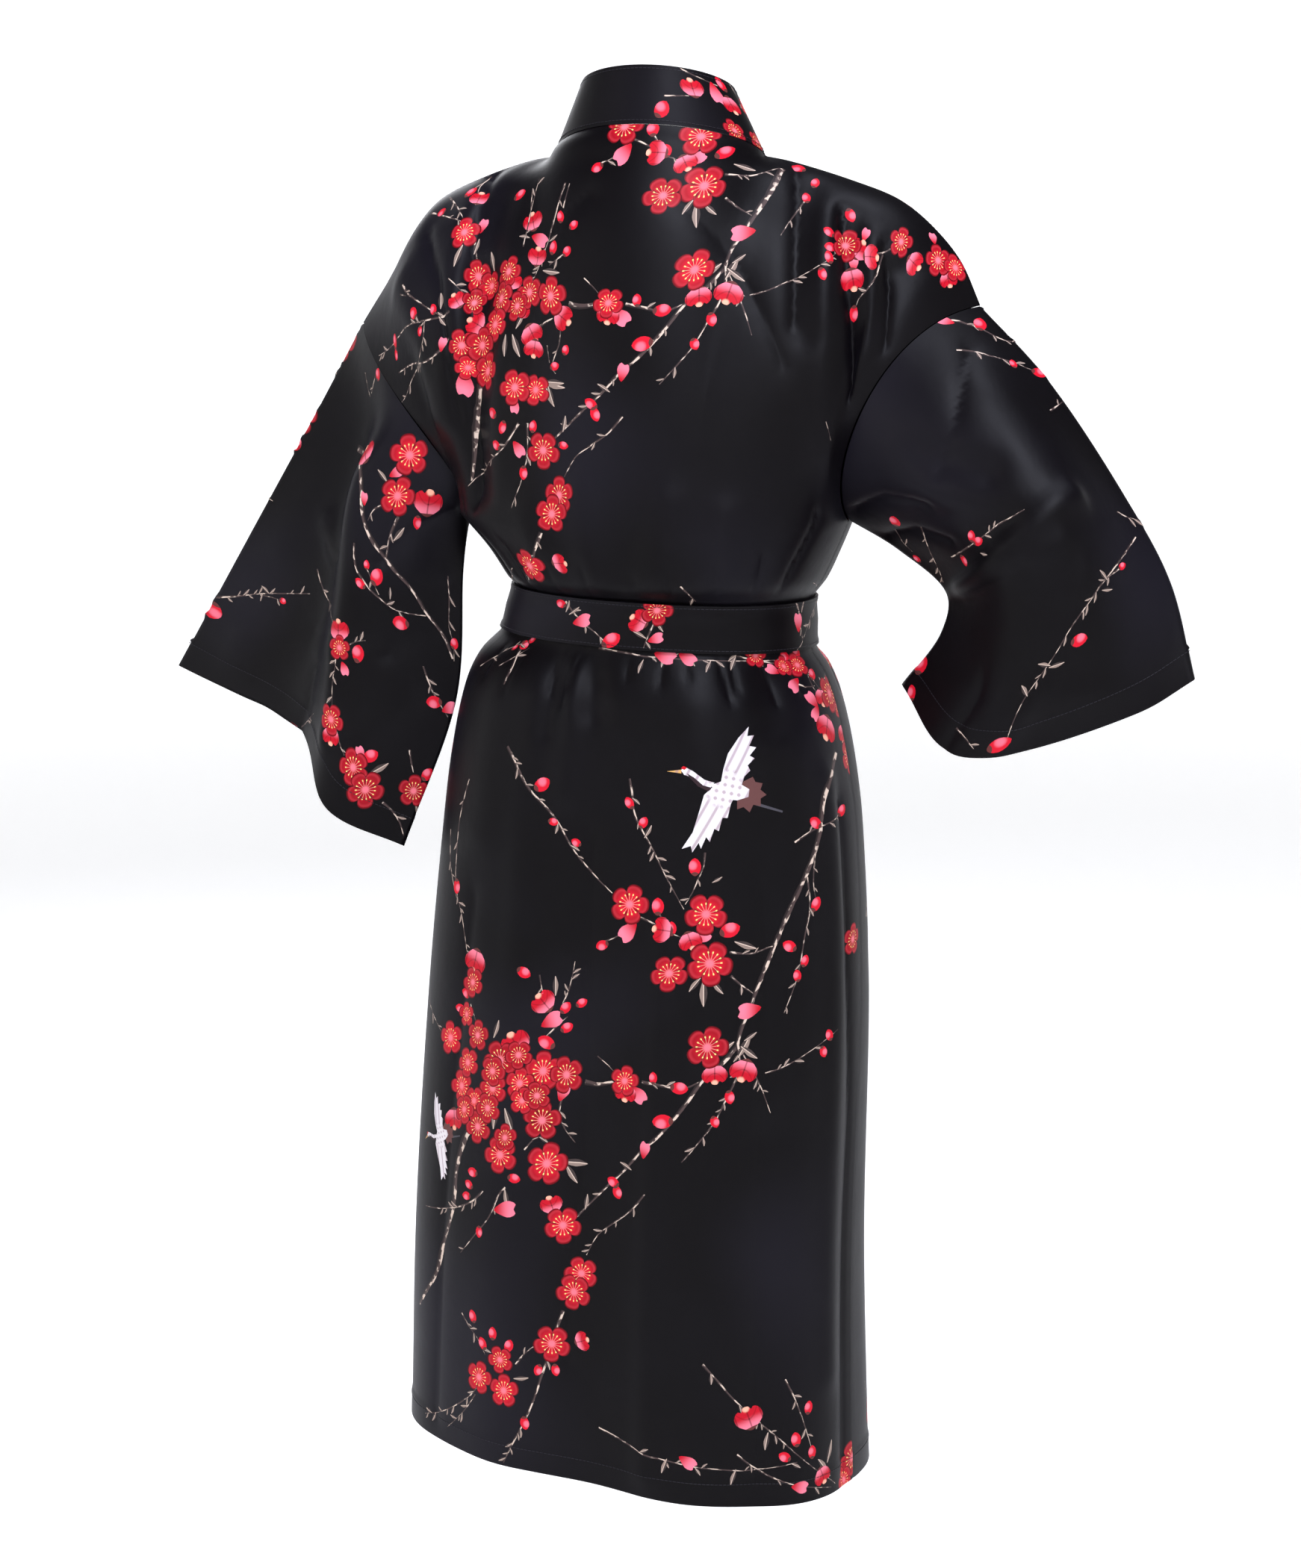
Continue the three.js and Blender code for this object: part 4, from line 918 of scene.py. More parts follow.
def paintPrint(mesh, motifs, flat, triangles, top, rimCount):
    paint = np.zeros((len(triangles), 3, 4), np.float32)
    place = np.zeros((len(triangles), 3, 3), np.float32)
    for number, motif in enumerate(motifs, start=1):
        own = np.nonzero(top == number)[0]
        if not len(own):
            continue
        corners = flat[triangles[own].ravel()]
        if "line" in motif:
            local = twigPlaces(motif, corners)
        else:
            local = (corners - motif["centre"]) @ motif["frame"].T
        paint[own] = (*motif["tint"], 1)
        place[own, :, :2] = local.reshape(-1, 3, 2)
        place[own, :, 2] = motif["kind"]
    inside = paint[:, ::-1].copy()
    inside[..., 3] *= cotton["printInside"]  # the print shows faintly on the inner side
    rim = np.zeros((rimCount * 3, 4), np.float32)
    corners = np.concatenate([paint.reshape(-1, 4), inside.reshape(-1, 4), rim])
    mesh.color_attributes.new("print", "FLOAT_COLOR", "CORNER").data.foreach_set("color", corners.ravel())
    spots = np.concatenate([place.reshape(-1, 3), place[:, ::-1].reshape(-1, 3), rim[:, :3]])
    mesh.attributes.new("motif", "FLOAT_VECTOR", "CORNER").data.foreach_set("vector", spots.ravel())


# Belt, knot and hanging ends
belt = {"rows": 9, "columns": 360}
angles = np.linspace(0, 1, belt["columns"] + 1)
grid = np.array([roundLine(height, 180, 540, angles)
                 for height in np.linspace(coat["beltTop"], coat["beltBottom"], belt["rows"])])
panels["belt"] = {"grid": grid, "normals": gridNormals(grid, False, 1)}
sheets["belt"].update(thickness=coat["beltThickness"],
                      rise=coat["bandRise"] + coat["layerGap"] + coat["beltThickness"])
sheets["neckband"].update(thickness=coat["bandThickness"], rise=coat["bandRise"])

beltEnds = {"belt_end_left": {"top": 13, "bottom": 26, "length": 262},
            "belt_end_right": {"top": -13, "bottom": -22, "length": 240}}
endShape = {"width": 38, "topWidth": 24, "columns": 10, "rows": 70}
knot = {"across": 50, "deep": 21, "high": 44, "power": 0.6, "turns": 96, "rows": 48,
        "slant": 0.55, "pinch": 1.6, "sink": 9, "crossing": 9}
# Grooves between the wraps of the knot: depth, slope, place, half width, and the side of the crossing wrap
knotGrooves = [(3.6, -0.55, 11, 1.8, 0), (3.6, -0.55, -11, 1.8, 0), (1.4, -0.55, 2, 1.5, 0),
               (2.4, 0.9, -20, 2, -1), (2, 1.4, 22, 2, 1)]
beltMiddle = (coat["beltTop"] + coat["beltBottom"]) / 2


def frontPoint(height, across):
    share = np.abs(across) / readRound("half", height)
    angle = np.degrees(np.arcsin(share ** (readRound("power", height) / 2)))
    return roundPoint(height, 180 - np.sign(across) * angle)


for name, end in beltEnds.items():
    top = beltMiddle - knot["high"] / 2 - coat["seamGap"]
    heights = np.linspace(top, top - end["length"], endShape["rows"])
    share = ease((top - heights) / end["length"], 0, 0.25)
    middle = end["top"] + (end["bottom"] - end["top"]) * share
    width = endShape["topWidth"] + (endShape["width"] - endShape["topWidth"]) * share
    across = np.linspace(-0.5, 0.5, endShape["columns"] + 1)
    grid = np.array([frontPoint(np.full(across.shape, height), m + w * across)
                     for height, m, w in zip(heights, middle, width)])
    panels[name] = {"grid": grid, "normals": gridNormals(grid, False, -1)}
    sheets[name].update(thickness=coat["beltThickness"], rise=coat["layerGap"] + coat["beltThickness"])


def roundedBox(value, size):
    return math.copysign(abs(value) ** knot["power"], value) * size / 2


def knotPiece():
    mesh = bpy.data.meshes.new("belt_knot")
    turns, rows = knot["turns"], knot["rows"]
    front = min(roundPoint(height, 180)[1] for height in (coat["beltTop"], beltMiddle, coat["beltBottom"]))
    front -= coat["bandRise"] + coat["layerGap"] + coat["beltThickness"] + coat["seamGap"]
    points, faces = [], []
    for row in range(1, rows):
        tilt = math.pi * row / rows
        for turn in range(turns):
            angle = 2 * math.pi * turn / turns
            across = roundedBox(math.sin(tilt) * math.cos(angle), knot["across"])
            up = roundedBox(math.sin(tilt) * math.sin(angle), knot["high"])
            slant = up - knot["slant"] * across
            wrap = sum(depth * math.exp(-((up + slope * across - place) / half) ** 2)
                       for depth, slope, place, half, side in knotGrooves
                       if not side or side * slant > knot["crossing"])
            shrink = 1 - wrap / knot["high"] * knot["pinch"]
            away = roundedBox(math.cos(tilt), knot["deep"]) * (1 - wrap / knot["sink"])
            points.append((across * shrink, front - knot["deep"] / 2 + away, beltMiddle + up * shrink))
    for row in range(rows - 2):
        for turn in range(turns):
            a, b = row * turns + turn, row * turns + (turn + 1) % turns
            faces.append((a, b, b + turns, a + turns))
    faces.append(tuple(range(turns))[::-1])
    faces.append(tuple(range((rows - 2) * turns, (rows - 1) * turns)))
    mesh.from_pydata([(x / 1000, y / 1000, z / 1000) for x, y, z in points], [], faces)
    mesh.materials.append(beltMaterial)
    for face in mesh.polygons:
        face.use_smooth = True
    layer = mesh.uv_layers.new(name="cloth")
    for loop in mesh.loops:
        spot = mesh.vertices[loop.vertex_index].co
        layer.data[loop.index].uv = (spot.x + spot.z * 0.5, spot.z)
    bare = [0.0] * (4 * len(mesh.loops))  # no print on the knot
    mesh.color_attributes.new("print", "FLOAT_COLOR", "CORNER").data.foreach_set("color", bare)
    mesh.attributes.new("motif", "FLOAT_VECTOR", "CORNER")
    return addPiece("belt_knot_cloth", mesh)


# The print: sprays of plum blossom and a flying crane, drawn for this cloth. Places are in millimetres
# across and down, as the coat is seen from behind, from the middle of the neck seam. Then come the size
# and the turn. A twig has its width and its points.
printed = {"repeat": 630.4, "distance": 2813, "drop": 535.4, "twigStep": 5, "reach": 6, "seed": 7,
           "blossomSize": 1.12, "turnedAway": (0.84, 1), "layer": 25, "mostSteps": 2.5}
twigShape = {"thick": 4, "thickTip": 0.55, "tip": 0.4, "uneven": (0.82, 1.14), "leafed": 5, "leafShare": 0.3,
             "leafSlant": (0.5, 1.3), "leafSize": (2.4, 4.6), "leafWidth": 1.2}
spray = {
    "open": [(-144, 696, 12.1), (-162, 741, 13.3), (-140, 739, 12.1), (-122, 759, 15.7),
             (-87, 768, 15.7), (-68, 771, 14.5), (-128, 782, 13.3), (-153, 780, 13.3),
             (-143, 792, 12.1), (-140, 813, 13.3), (-88, 808, 15.1), (-122, 836, 14.5),
             (-84, 843, 16.9), (-71, 893, 14.5), (-56, 932, 13.9), (-62, 947, 13.9), (-80, 989, 14.5),
             (-122, 1002, 10.9), (-139, 1016, 13.3), (-119, 1027, 13.3), (-21, 776, 12.1),
             (46, 749, 15.7), (-17, 633, 15.1), (45, 641, 15.7), (48, 681, 16.9), (15, 689, 14.5),
             (163, 1081, 15.7), (-148, 761, 12.7), (-106, 778, 12.7), (-107, 755, 11.5),
             (-132, 798, 12.1), (-151, 799, 12.1), (-104, 792, 10.9), (-128, 768, 12.1),
             (-118, 822, 10.9), (-92, 788, 10.9), (177, 1062, 11.5), (156, 1099, 10.9), (-149, 722, 9.7)],
    "side": [(-109, 747, 12.1, -30), (52, 770, 9.1, 180), (76, 767, 10.3, 200), (-86, 713, 9.7, -40),
             (-159, 806, 10.3, 180), (10, 654, 9.1, -80), (32, 662, 8.5, 160), (80, 1050, 10.9, -20),
             (-80, 877, 8.5, -20), (-142, 678, 11.5, 200), (-20, 785, 8.5, 190), (-56, 987, 7.3, 70),
             (139, 1095, 8.5, 160)],
    "petal": [(-10, 787, 8.5, 130), (-80, 727, 9.1, 60), (-118, 880, 9.7, 80), (-18, 655, 9.1, -140),
              (80, 719, 9.1, -100), (30, 1085, 7.3, 120), (121, 1105, 7.3, 100), (-5, 832, 6.7, 10),
              (42, 659, 7.3, 60), (-71, 785, 7.3, 20)],
    "bud": [(23, 782, 6.7, 100), (-68, 733, 5.4, 60), (-84, 745, 7.3, -60), (-144, 850, 5.4, -80),
            (-147, 860, 4.8, -60), (-111, 855, 5.4, 100), (-149, 869, 4.8, -90), (-39, 666, 5.4, -110),
            (6, 635, 6.7, 0), (64, 654, 7.9, 70), (17, 653, 5.4, 0), (-17, 551, 4.8, -30),
            (-6, 567, 4.8, 30), (36, 603, 6.7, 0), (134, 633, 6, 30), (155, 557, 5.4, 40),
            (134, 567, 6, -60), (113, 667, 6, -60), (125, 679, 4.8, 20), (119, 691, 4.8, -10),
            (-144, 967, 5.4, -20), (-128, 981, 5.4, 0), (-136, 989, 5.4, -30), (-115, 991, 5.4, 20),
            (-69, 717, 5.4, 40), (10, 809, 7.9, -90), (-30, 858, 5.4, -60), (-27, 866, 5.4, 160),
            (2, 774, 4.8, 0), (145, 739, 4.8, -20), (140, 752, 4.8, 160), (118, 1067, 6, -10),
            (109, 1081, 5.4, -60), (128, 1041, 5.4, 10), (-102, 1053, 5.4, 170), (-91, 1010, 4.8, 200),
            (-77, 1010, 4.8, 170), (52, 809, 4.8, 160), (64, 789, 5.4, 170), (-103, 688, 6, 120),
            (-149, 705, 5.4, -60), (-154, 717, 4.8, -80), (-56, 713, 4.8, 60), (-84, 708, 6, -30),
            (-139, 898, 4.8, 180), (131, 1077, 5.4, 0), (-88, 536, 7.3, 60), (-157, 618, 6, 180),
            (-79, 566, 4.2, 100), (-60, 583, 4.2, -60)],
    "leaf": [(43, 705, 9.7, 180), (54, 700, 6.7, 140), (36, 698, 6.7, 220), (77, 666, 8.5, 110),
             (-2, 574, 5.4, 30), (-126, 805, 9.7, 190), (-115, 808, 9.7, 160), (-106, 787, 7.3, 200),
             (-61, 842, 9.7, 95), (-64, 851, 8.5, 150), (-117, 871, 7.3, 170), (-125, 734, 7.3, 20),
             (-52, 874, 6, 10), (-20, 845, 5.4, -60), (76, 748, 9.1, 30), (59, 750, 9.1, 60),
             (80, 753, 7.9, 130), (140, 1088, 8.5, -40), (145, 1076, 8.5, 20), (94, 1068, 6.7, 190),
             (11, 1088, 6, 200), (67, 1097, 6, 200), (-77, 699, 7.3, 0), (-105, 1017, 6, 80),
             (81, 740, 5.4, 60), (54, 613, 4.2, 60)],
    "twig": [
        (3, [(-116, 505), (-112, 513), (-98, 540), (-79, 561), (-61, 591), (-44, 611), (-31, 624)]),
        (1.8, [(-147, 531), (-154, 560), (-157, 590), (-158, 615), (-153, 642), (-148, 675)]),
        (1.6, [(-162, 572), (-162, 600), (-157, 628)]),
        (7, [(-145, 813), (-150, 821), (-157, 845), (-160, 877), (-168, 909), (-174, 932),
            (-187, 956)]),
        (5.5, [(150, 509), (141, 544), (137, 574), (132, 593), (123, 615), (111, 641), (100, 667),
            (91, 689), (85, 704), (80, 719), (74, 732), (70, 748)]),
        (5, [(-53, 777), (-43, 779), (-30, 777)]), (3.2, [(-7, 777), (8, 780), (25, 783), (42, 776)]),
        (4, [(70, 748), (56, 764), (41, 777), (29, 794), (17, 809), (5, 822), (-7, 832), (-21, 848),
            (-36, 862), (-49, 875), (-64, 890)]),
        (2.6, [(70, 744), (72, 762), (68, 777), (60, 793), (52, 809), (39, 826), (25, 842)]),
        (2, [(72, 750), (81, 765), (90, 783), (97, 802)]),
        (1.5, [(93, 770), (105, 766), (122, 757), (143, 742), (152, 734)]),
        (2, [(-5, 868), (-16, 881), (-30, 891), (-43, 901), (-52, 917)]),
        (3.2, [(-71, 962), (-73, 968), (-76, 976), (-79, 989), (-82, 998), (-87, 1010), (-94, 1032),
            (-103, 1053), (-111, 1068), (-119, 1085)]),
        (2.4, [(-109, 1006), (-103, 998), (-94, 991)]),
        (1.5, [(-153, 964), (-147, 975), (-140, 985), (-134, 998)]),
        (1.9, [(-136, 1013), (-143, 1027), (-157, 1038), (-171, 1044), (-182, 1045)]),
        (1.6, [(-142, 1030), (-152, 1044), (-164, 1056)]),
        (2.2, [(-136, 865), (-143, 872), (-153, 877), (-169, 879), (-182, 877)]),
        (2.2, [(-118, 862), (-123, 868), (-131, 886), (-142, 900), (-154, 915)]),
        (2, [(42, 1006), (53, 1018), (66, 1033), (81, 1047), (93, 1057), (105, 1067), (120, 1080),
            (134, 1091), (149, 1102)]),
        (1.8, [(109, 1018), (116, 1032), (123, 1050), (131, 1076)]),
        (1.9, [(-42, 1057), (-19, 1070), (-4, 1080), (5, 1082), (21, 1086), (34, 1089), (54, 1091),
            (76, 1092), (96, 1090), (119, 1085)]),
        (1.9, [(70, 1079), (80, 1087), (90, 1093), (102, 1099), (119, 1104), (146, 1105)]),
        (2.2, [(-17, 531), (-15, 544), (-13, 560), (-7, 573), (1, 587), (10, 606), (18, 621),
            (27, 637)]),
        (1.9, [(44, 591), (43, 602), (39, 611), (34, 623), (28, 633)]),
        (2.2, [(117, 583), (130, 574), (145, 567), (155, 557)]),
        (2, [(127, 611), (129, 635), (125, 658), (119, 691), (108, 721)]),
        (2.4, [(64, 672), (81, 673), (99, 667)]), (2.4, [(65, 691), (74, 699), (83, 705)]),
        (1.8, [(133, 593), (132, 617), (134, 629)]), (2, [(-41, 664), (-31, 661), (-20, 655)]),
        (2, [(-10, 643), (1, 648), (15, 656), (28, 661)]), (1.8, [(6, 638), (11, 648), (18, 654)]),
        (2, [(-88, 744), (-76, 732), (-67, 724)]), (1.8, [(-72, 717), (-65, 699), (-61, 679)]),
        (2, [(-71, 786), (-74, 802), (-70, 814), (-61, 826)]),
        (1.8, [(-102, 832), (-94, 823), (-79, 820)]), (1.6, [(-179, 711), (-170, 735), (-164, 747)]),
        (1.6, [(-43, 756), (-36, 762), (-27, 771)]), (2.2, [(-146, 714), (-140, 732), (-134, 747)]),
        (1.5, [(-90, 690), (-88, 702), (-85, 711)]),
    ],
}

spots = {
    "open": [(157, 100, 12.1), (203, 96, 10.9), (233, 111, 12.1), (247, 117, 10.9), (81, -5, 10.9),
             (68, 6, 9.1), (86, 15, 8.5), (6, 394, 12.1), (119, 439, 10.9), (108, 440, 8.5),
             (145, 462, 15.7), (160, 513, 13.3), (85, 431, 9.7), (164, 661, 12.1)],
    "side": [(169, 103, 9.1, 40), (164, 126, 10.3, 170), (178, 108, 7.9, 90), (213, 113, 7.9, 130),
             (241, 126, 7.3, 160), (34, -28, 8.5, -20), (65, -15, 8.5, 140), (-8, 403, 8.5, -60),
             (143, 489, 12.1, 190), (156, 495, 9.7, 170)],
    "petal": [(174, 90, 5.4, 20), (165, 114, 5.4, 0), (53, -24, 8.5, 150), (-54, 403, 7.3, 80),
              (5, 417, 6, 70), (117, 404, 7.3, -10), (12, 432, 8.5, 110), (99, 443, 6, -80),
              (117, 455, 7.3, 200), (131, 467, 7.3, -60), (134, 478, 6.7, 200), (229, 93, 4.8, -20),
              (239, 160, 6, -80), (274, 145, 5.4, 80)],
    "bud": [(162, 74, 5.4, 160), (145, 88, 4.8, -60), (146, 100, 4.8, -90), (165, 154, 5.4, 180),
            (9, -11, 7.3, 30), (57, -31, 6, -60), (-31, 419, 7.9, 60), (-70, 389, 4.8, -60),
            (267, 163, 6.7, 0), (295, 171, 4.8, 0), (294, 195, 4.2, -20), (315, 202, 6, 90),
            (260, 335, 4.8, 0), (265, 339, 4.8, 60), (254, 354, 4.8, 130), (198, 323, 6.7, -10),
            (347, 419, 6.7, 100), (382, 359, 3.6, 60), (219, 439, 9.1, 20), (212, 462, 6.7, 0),
            (282, 504, 9.1, 80), (-96, 419, 3.6, 80), (-110, 425, 3, 60), (216, 353, 4.2, -60)],
    "leaf": [(329, 439, 6, 100), (319, 439, 5.4, -60), (303, 460, 6, -20), (367, 366, 4.8, -40),
             (370, 378, 4.2, 100), (-65, 391, 4.8, 20), (-60, 395, 4.8, 60), (-8, 414, 5.4, -60),
             (8, 407, 4.8, 150), (120, 391, 4.8, 20), (116, 391, 4.2, -30), (-8, 440, 5.4, 200),
             (47, 440, 5.4, 200), (270, 349, 4.2, 100), (207, 339, 3.6, 10)],
    "twig": [
        (2.2, [(188, 106), (185, 116), (182, 125), (175, 135), (168, 143), (165, 154)]),
        (1.8, [(178, 108), (193, 103), (203, 96)]),
        (2.4, [(239, 160), (248, 160), (257, 163), (267, 166), (276, 171), (287, 176), (300, 179)]),
        (2, [(248, 184), (260, 185), (273, 188), (285, 191), (297, 195), (309, 200), (321, 204)]),
        (2, [(324, 233), (335, 225)]),
        (2.2, [(244, 352), (252, 347), (261, 341), (272, 333), (282, 325), (293, 319), (303, 313)]),
        (1.6, [(198, 329), (204, 339), (212, 347)]),
        (1.9, [(393, 335), (381, 353), (367, 371), (353, 391), (339, 411), (324, 436), (314, 450),
            (303, 466), (295, 482), (288, 500)]),
        (1.8, [(382, 359), (374, 365), (367, 371)]), (1.8, [(378, 315), (388, 320), (399, 323)]),
        (1.8, [(248, 490), (255, 498), (262, 507)]), (1.8, [(11, -22), (21, -22), (31, -22)]),
        (2, [(24, -44), (34, -39), (45, -34), (54, -30)]), (1.6, [(62, -34), (69, -22), (73, -12)]),
        (2.2, [(-67, 387), (-62, 395), (-54, 404), (-45, 411), (-36, 420)]),
        (2.4, [(4, 404), (-1, 414), (-5, 425)]), (2, [(117, 395), (118, 405), (120, 420), (116, 427)]),
        (1.8, [(133, 384), (126, 402), (120, 419)]), (2, [(120, 455), (126, 457), (133, 456)]),
        (1.6, [(-138, 440), (-129, 434), (-119, 428), (-108, 423), (-96, 419)]),
        (1.6, [(-123, 440), (-111, 433), (-98, 425)]),
        (1.7, [(-103, 100), (-99, 82), (-94, 60), (-90, 45)]),
        (1.4, [(139, 381), (136, 375), (132, 372)]), (1.2, [(142, 242), (144, 248), (146, 257)]),
        (1.7, [(219, 327), (223, 339), (229, 353), (237, 372)]),
    ],
}

shoulderSpray = {  # the thick of the spray behind the left shoulder, as it hangs there
    "open": [(-151, 88, 12.2), (-139, 124, 13.2), (-115, 120, 12), (-128, 132, 11), (-143, 146, 10.8),
             (-98, 137, 13), (-108, 148, 11.4), (-121, 142, 13.4), (-81, 140, 15), (-126, 163, 13.2),
             (-153, 180, 13.4), (-148, 198, 10.6), (-136, 180, 13.6), (-131, 201, 14.4),
             (-93, 216, 12.6), (-110, 214, 13.8), (-87, 265, 13.8)],
    "side": [(-95, 80, 9.4, -10), (-91, 109, 9, 10), (-72, 157, 9.4, 120), (-96, 170, 9.6, 150),
             (-94, 182, 8.4, 190), (-157, 144, 7.2, -30), (-139, 61, 7.6, 20), (-105, 150, 8.6, 60),
             (-140, 163, 9, -60), (-112, 128, 8, 30)],
    "petal": [(-90, 94, 8.2, 110), (-136, 83, 6, 20), (-151, 211, 10.4, 180), (-107, 264, 7, 140),
              (-110, 229, 6, 180), (-169, 179, 5.2, 10), (-127, 172, 6, 60)],
    "bud": [(-169, 72, 4.8, -60), (-146, 56, 5.6, 60), (-106, 58, 6, 90), (-73, 76, 4.8, 0),
            (-79, 101, 5.8, 20), (-68, 104, 4.8, 40), (-192, 154, 5.2, -40), (-187, 168, 3.8, 180),
            (-207, 177, 5, 0), (-206, 187, 4, 180), (-176, 151, 4.6, -20), (-221, 204, 5, 0),
            (-128, 235, 5.6, -60), (-120, 246, 5.2, 200), (-125, 261, 4.8, -60), (-95, 246, 4.8, 10),
            (-71, 261, 4.2, 90), (-103, 283, 5.2, 180), (-69, 184, 4.2, 20), (-78, 197, 4.4, 60)],
    "leaf": [(-156, 107, 8, 205), (-128, 112, 7.4, -12), (-81, 120, 8.4, 95), (-118, 180, 8, 185),
             (-109, 180, 9, 160), (-78, 210, 8, 85), (-81, 220, 7.2, 160), (-106, 160, 6.4, 30),
             (-170, 144, 6, 0), (-169, 160, 4.6, 150), (-102, 92, 5, -70), (-79, 93, 5, 70),
             (-104, 210, 6, 20), (-141, 100, 6, 20)],
    "twig": [
        (6.5, [(-138, 212), (-139, 227), (-142, 249), (-143, 272), (-145, 290)]),
        (2.4, [(-107, 243), (-120, 263), (-136, 284), (-148, 294)]),
        (2, [(-100, 243), (-100, 267), (-104, 287), (-113, 312)]),
        (1.6, [(-164, 126), (-157, 132), (-151, 139)]),
        (2.4, [(-201, 131), (-197, 138), (-182, 149), (-167, 157)]), (1.5, [(-203, 139), (-198, 140)]),
        (2.2, [(-163, 152), (-167, 157), (-185, 160), (-201, 168), (-208, 178), (-220, 188)]),
        (2.4, [(-163, 174), (-170, 183), (-185, 194), (-204, 202)]),
        (1.8, [(-183, 160), (-185, 178), (-188, 194), (-195, 212), (-202, 226)]),
        (1.5, [(-231, 202), (-229, 214), (-227, 222)]), (1.8, [(-220, 196), (-223, 205), (-226, 219)]),
        (1.8, [(-73, 164), (-74, 178), (-80, 198), (-77, 203)]), (1.4, [(-84, 180), (-82, 194)]),
        (3, [(-92, 167), (-79, 158)]), (1.6, [(-96, 56), (-97, 73)]),
        (2.2, [(-69, 48), (-77, 73), (-82, 93), (-90, 115), (-96, 129)]), (2, [(-69, 105), (-82, 115)]),
        (3, [(-143, 93), (-140, 113)]), (2.4, [(-178, 73), (-165, 76), (-153, 80)]),
        (2.4, [(-163, 60), (-155, 71), (-152, 77)]), (2, [(-129, 43), (-138, 51), (-142, 66)]),
    ],
}

leftSleevePrint = {
    "open": [(-195, 269, 15.7), (-205, 302, 15.7), (-259, 483, 12.1), (-241, 522, 13.9),
             (-231, 540, 15.7), (-192, 541, 12.7), (-252, 425, 9.7)],
    "side": [(-180, 309, 12.1, 10), (-231, 268, 10.3, 0), (-253, 411, 9.7, 0), (-259, 496, 7.9, 180),
             (-163, 492, 9.7, 120)],
    "petal": [(-206, 283, 6, 60), (-232, 304, 4.8, 0), (-248, 442, 5.4, 160), (-185, 304, 5.4, 120),
              (-163, 474, 6.7, 60), (-235, 510, 5.4, -30)],
    "bud": [(-189, 323, 5.4, 190), (-222, 368, 7.3, 30), (-235, 373, 4.8, -60), (-202, 405, 7.3, -100),
            (-355, 394, 7.3, -150), (-298, 387, 3.6, 120), (-237, 430, 7.3, 10), (-227, 513, 6.7, 60),
            (-175, 469, 6.7, -100), (-181, 528, 6, 40), (-230, 358, 3.6, 0), (-159, 422, 4.8, 20)],
    "leaf": [(-217, 286, 6, -40), (-204, 333, 7.3, 40), (-220, 523, 8.5, 60), (-188, 557, 6, 160),
             (-312, 378, 4.8, -50), (-315, 384, 3.6, 200), (-211, 381, 4.2, 0)],
    "twig": [
        (5.4, [(-237, 263), (-235, 278), (-234, 299), (-233, 318), (-227, 335), (-214, 353),
            (-206, 364), (-197, 373), (-189, 384), (-182, 396), (-175, 405), (-167, 416), (-160, 434)]),
        (3.4, [(-204, 319), (-208, 327), (-211, 335), (-214, 353)]),
        (2, [(-218, 310), (-224, 313), (-229, 322)]),
        (2.4, [(-240, 340), (-240, 351), (-238, 362), (-232, 371), (-227, 378), (-218, 386),
            (-209, 393), (-196, 397), (-182, 399)]),
        (1.7, [(-231, 358), (-226, 369), (-220, 382)]),
        (2, [(-352, 384), (-335, 383), (-316, 381), (-296, 381), (-276, 381)]),
        (1.5, [(-316, 382), (-307, 384), (-298, 387)]),
        (1.8, [(-270, 361), (-267, 372), (-263, 382), (-259, 393), (-257, 405), (-255, 418),
            (-255, 431), (-257, 448), (-258, 463), (-258, 475)]),
        (1.7, [(-247, 424), (-239, 420), (-231, 419)]), (2.2, [(-255, 490), (-252, 502), (-248, 512)]),
        (2.4, [(-217, 550), (-211, 555), (-206, 561), (-202, 569), (-200, 577)]),
        (2, [(-195, 508), (-194, 516), (-192, 526)]),
        (2.2, [(-184, 440), (-180, 451), (-175, 463), (-169, 473), (-164, 481)]),
        (1.5, [(-164, 367), (-163, 384), (-163, 409), (-160, 420), (-159, 436)]),
        (1.5, [(-312, 302), (-309, 304), (-306, 306)]), (1.6, [(-289, 496), (-282, 489), (-273, 478)]),
    ],
}
cranes = [{"place": (60, 539), "size": 50, "turn": 0, "lean": 1},
          {"place": (-171, 820), "size": 34, "turn": -30, "lean": 0.8}]  # where the skirt turns away
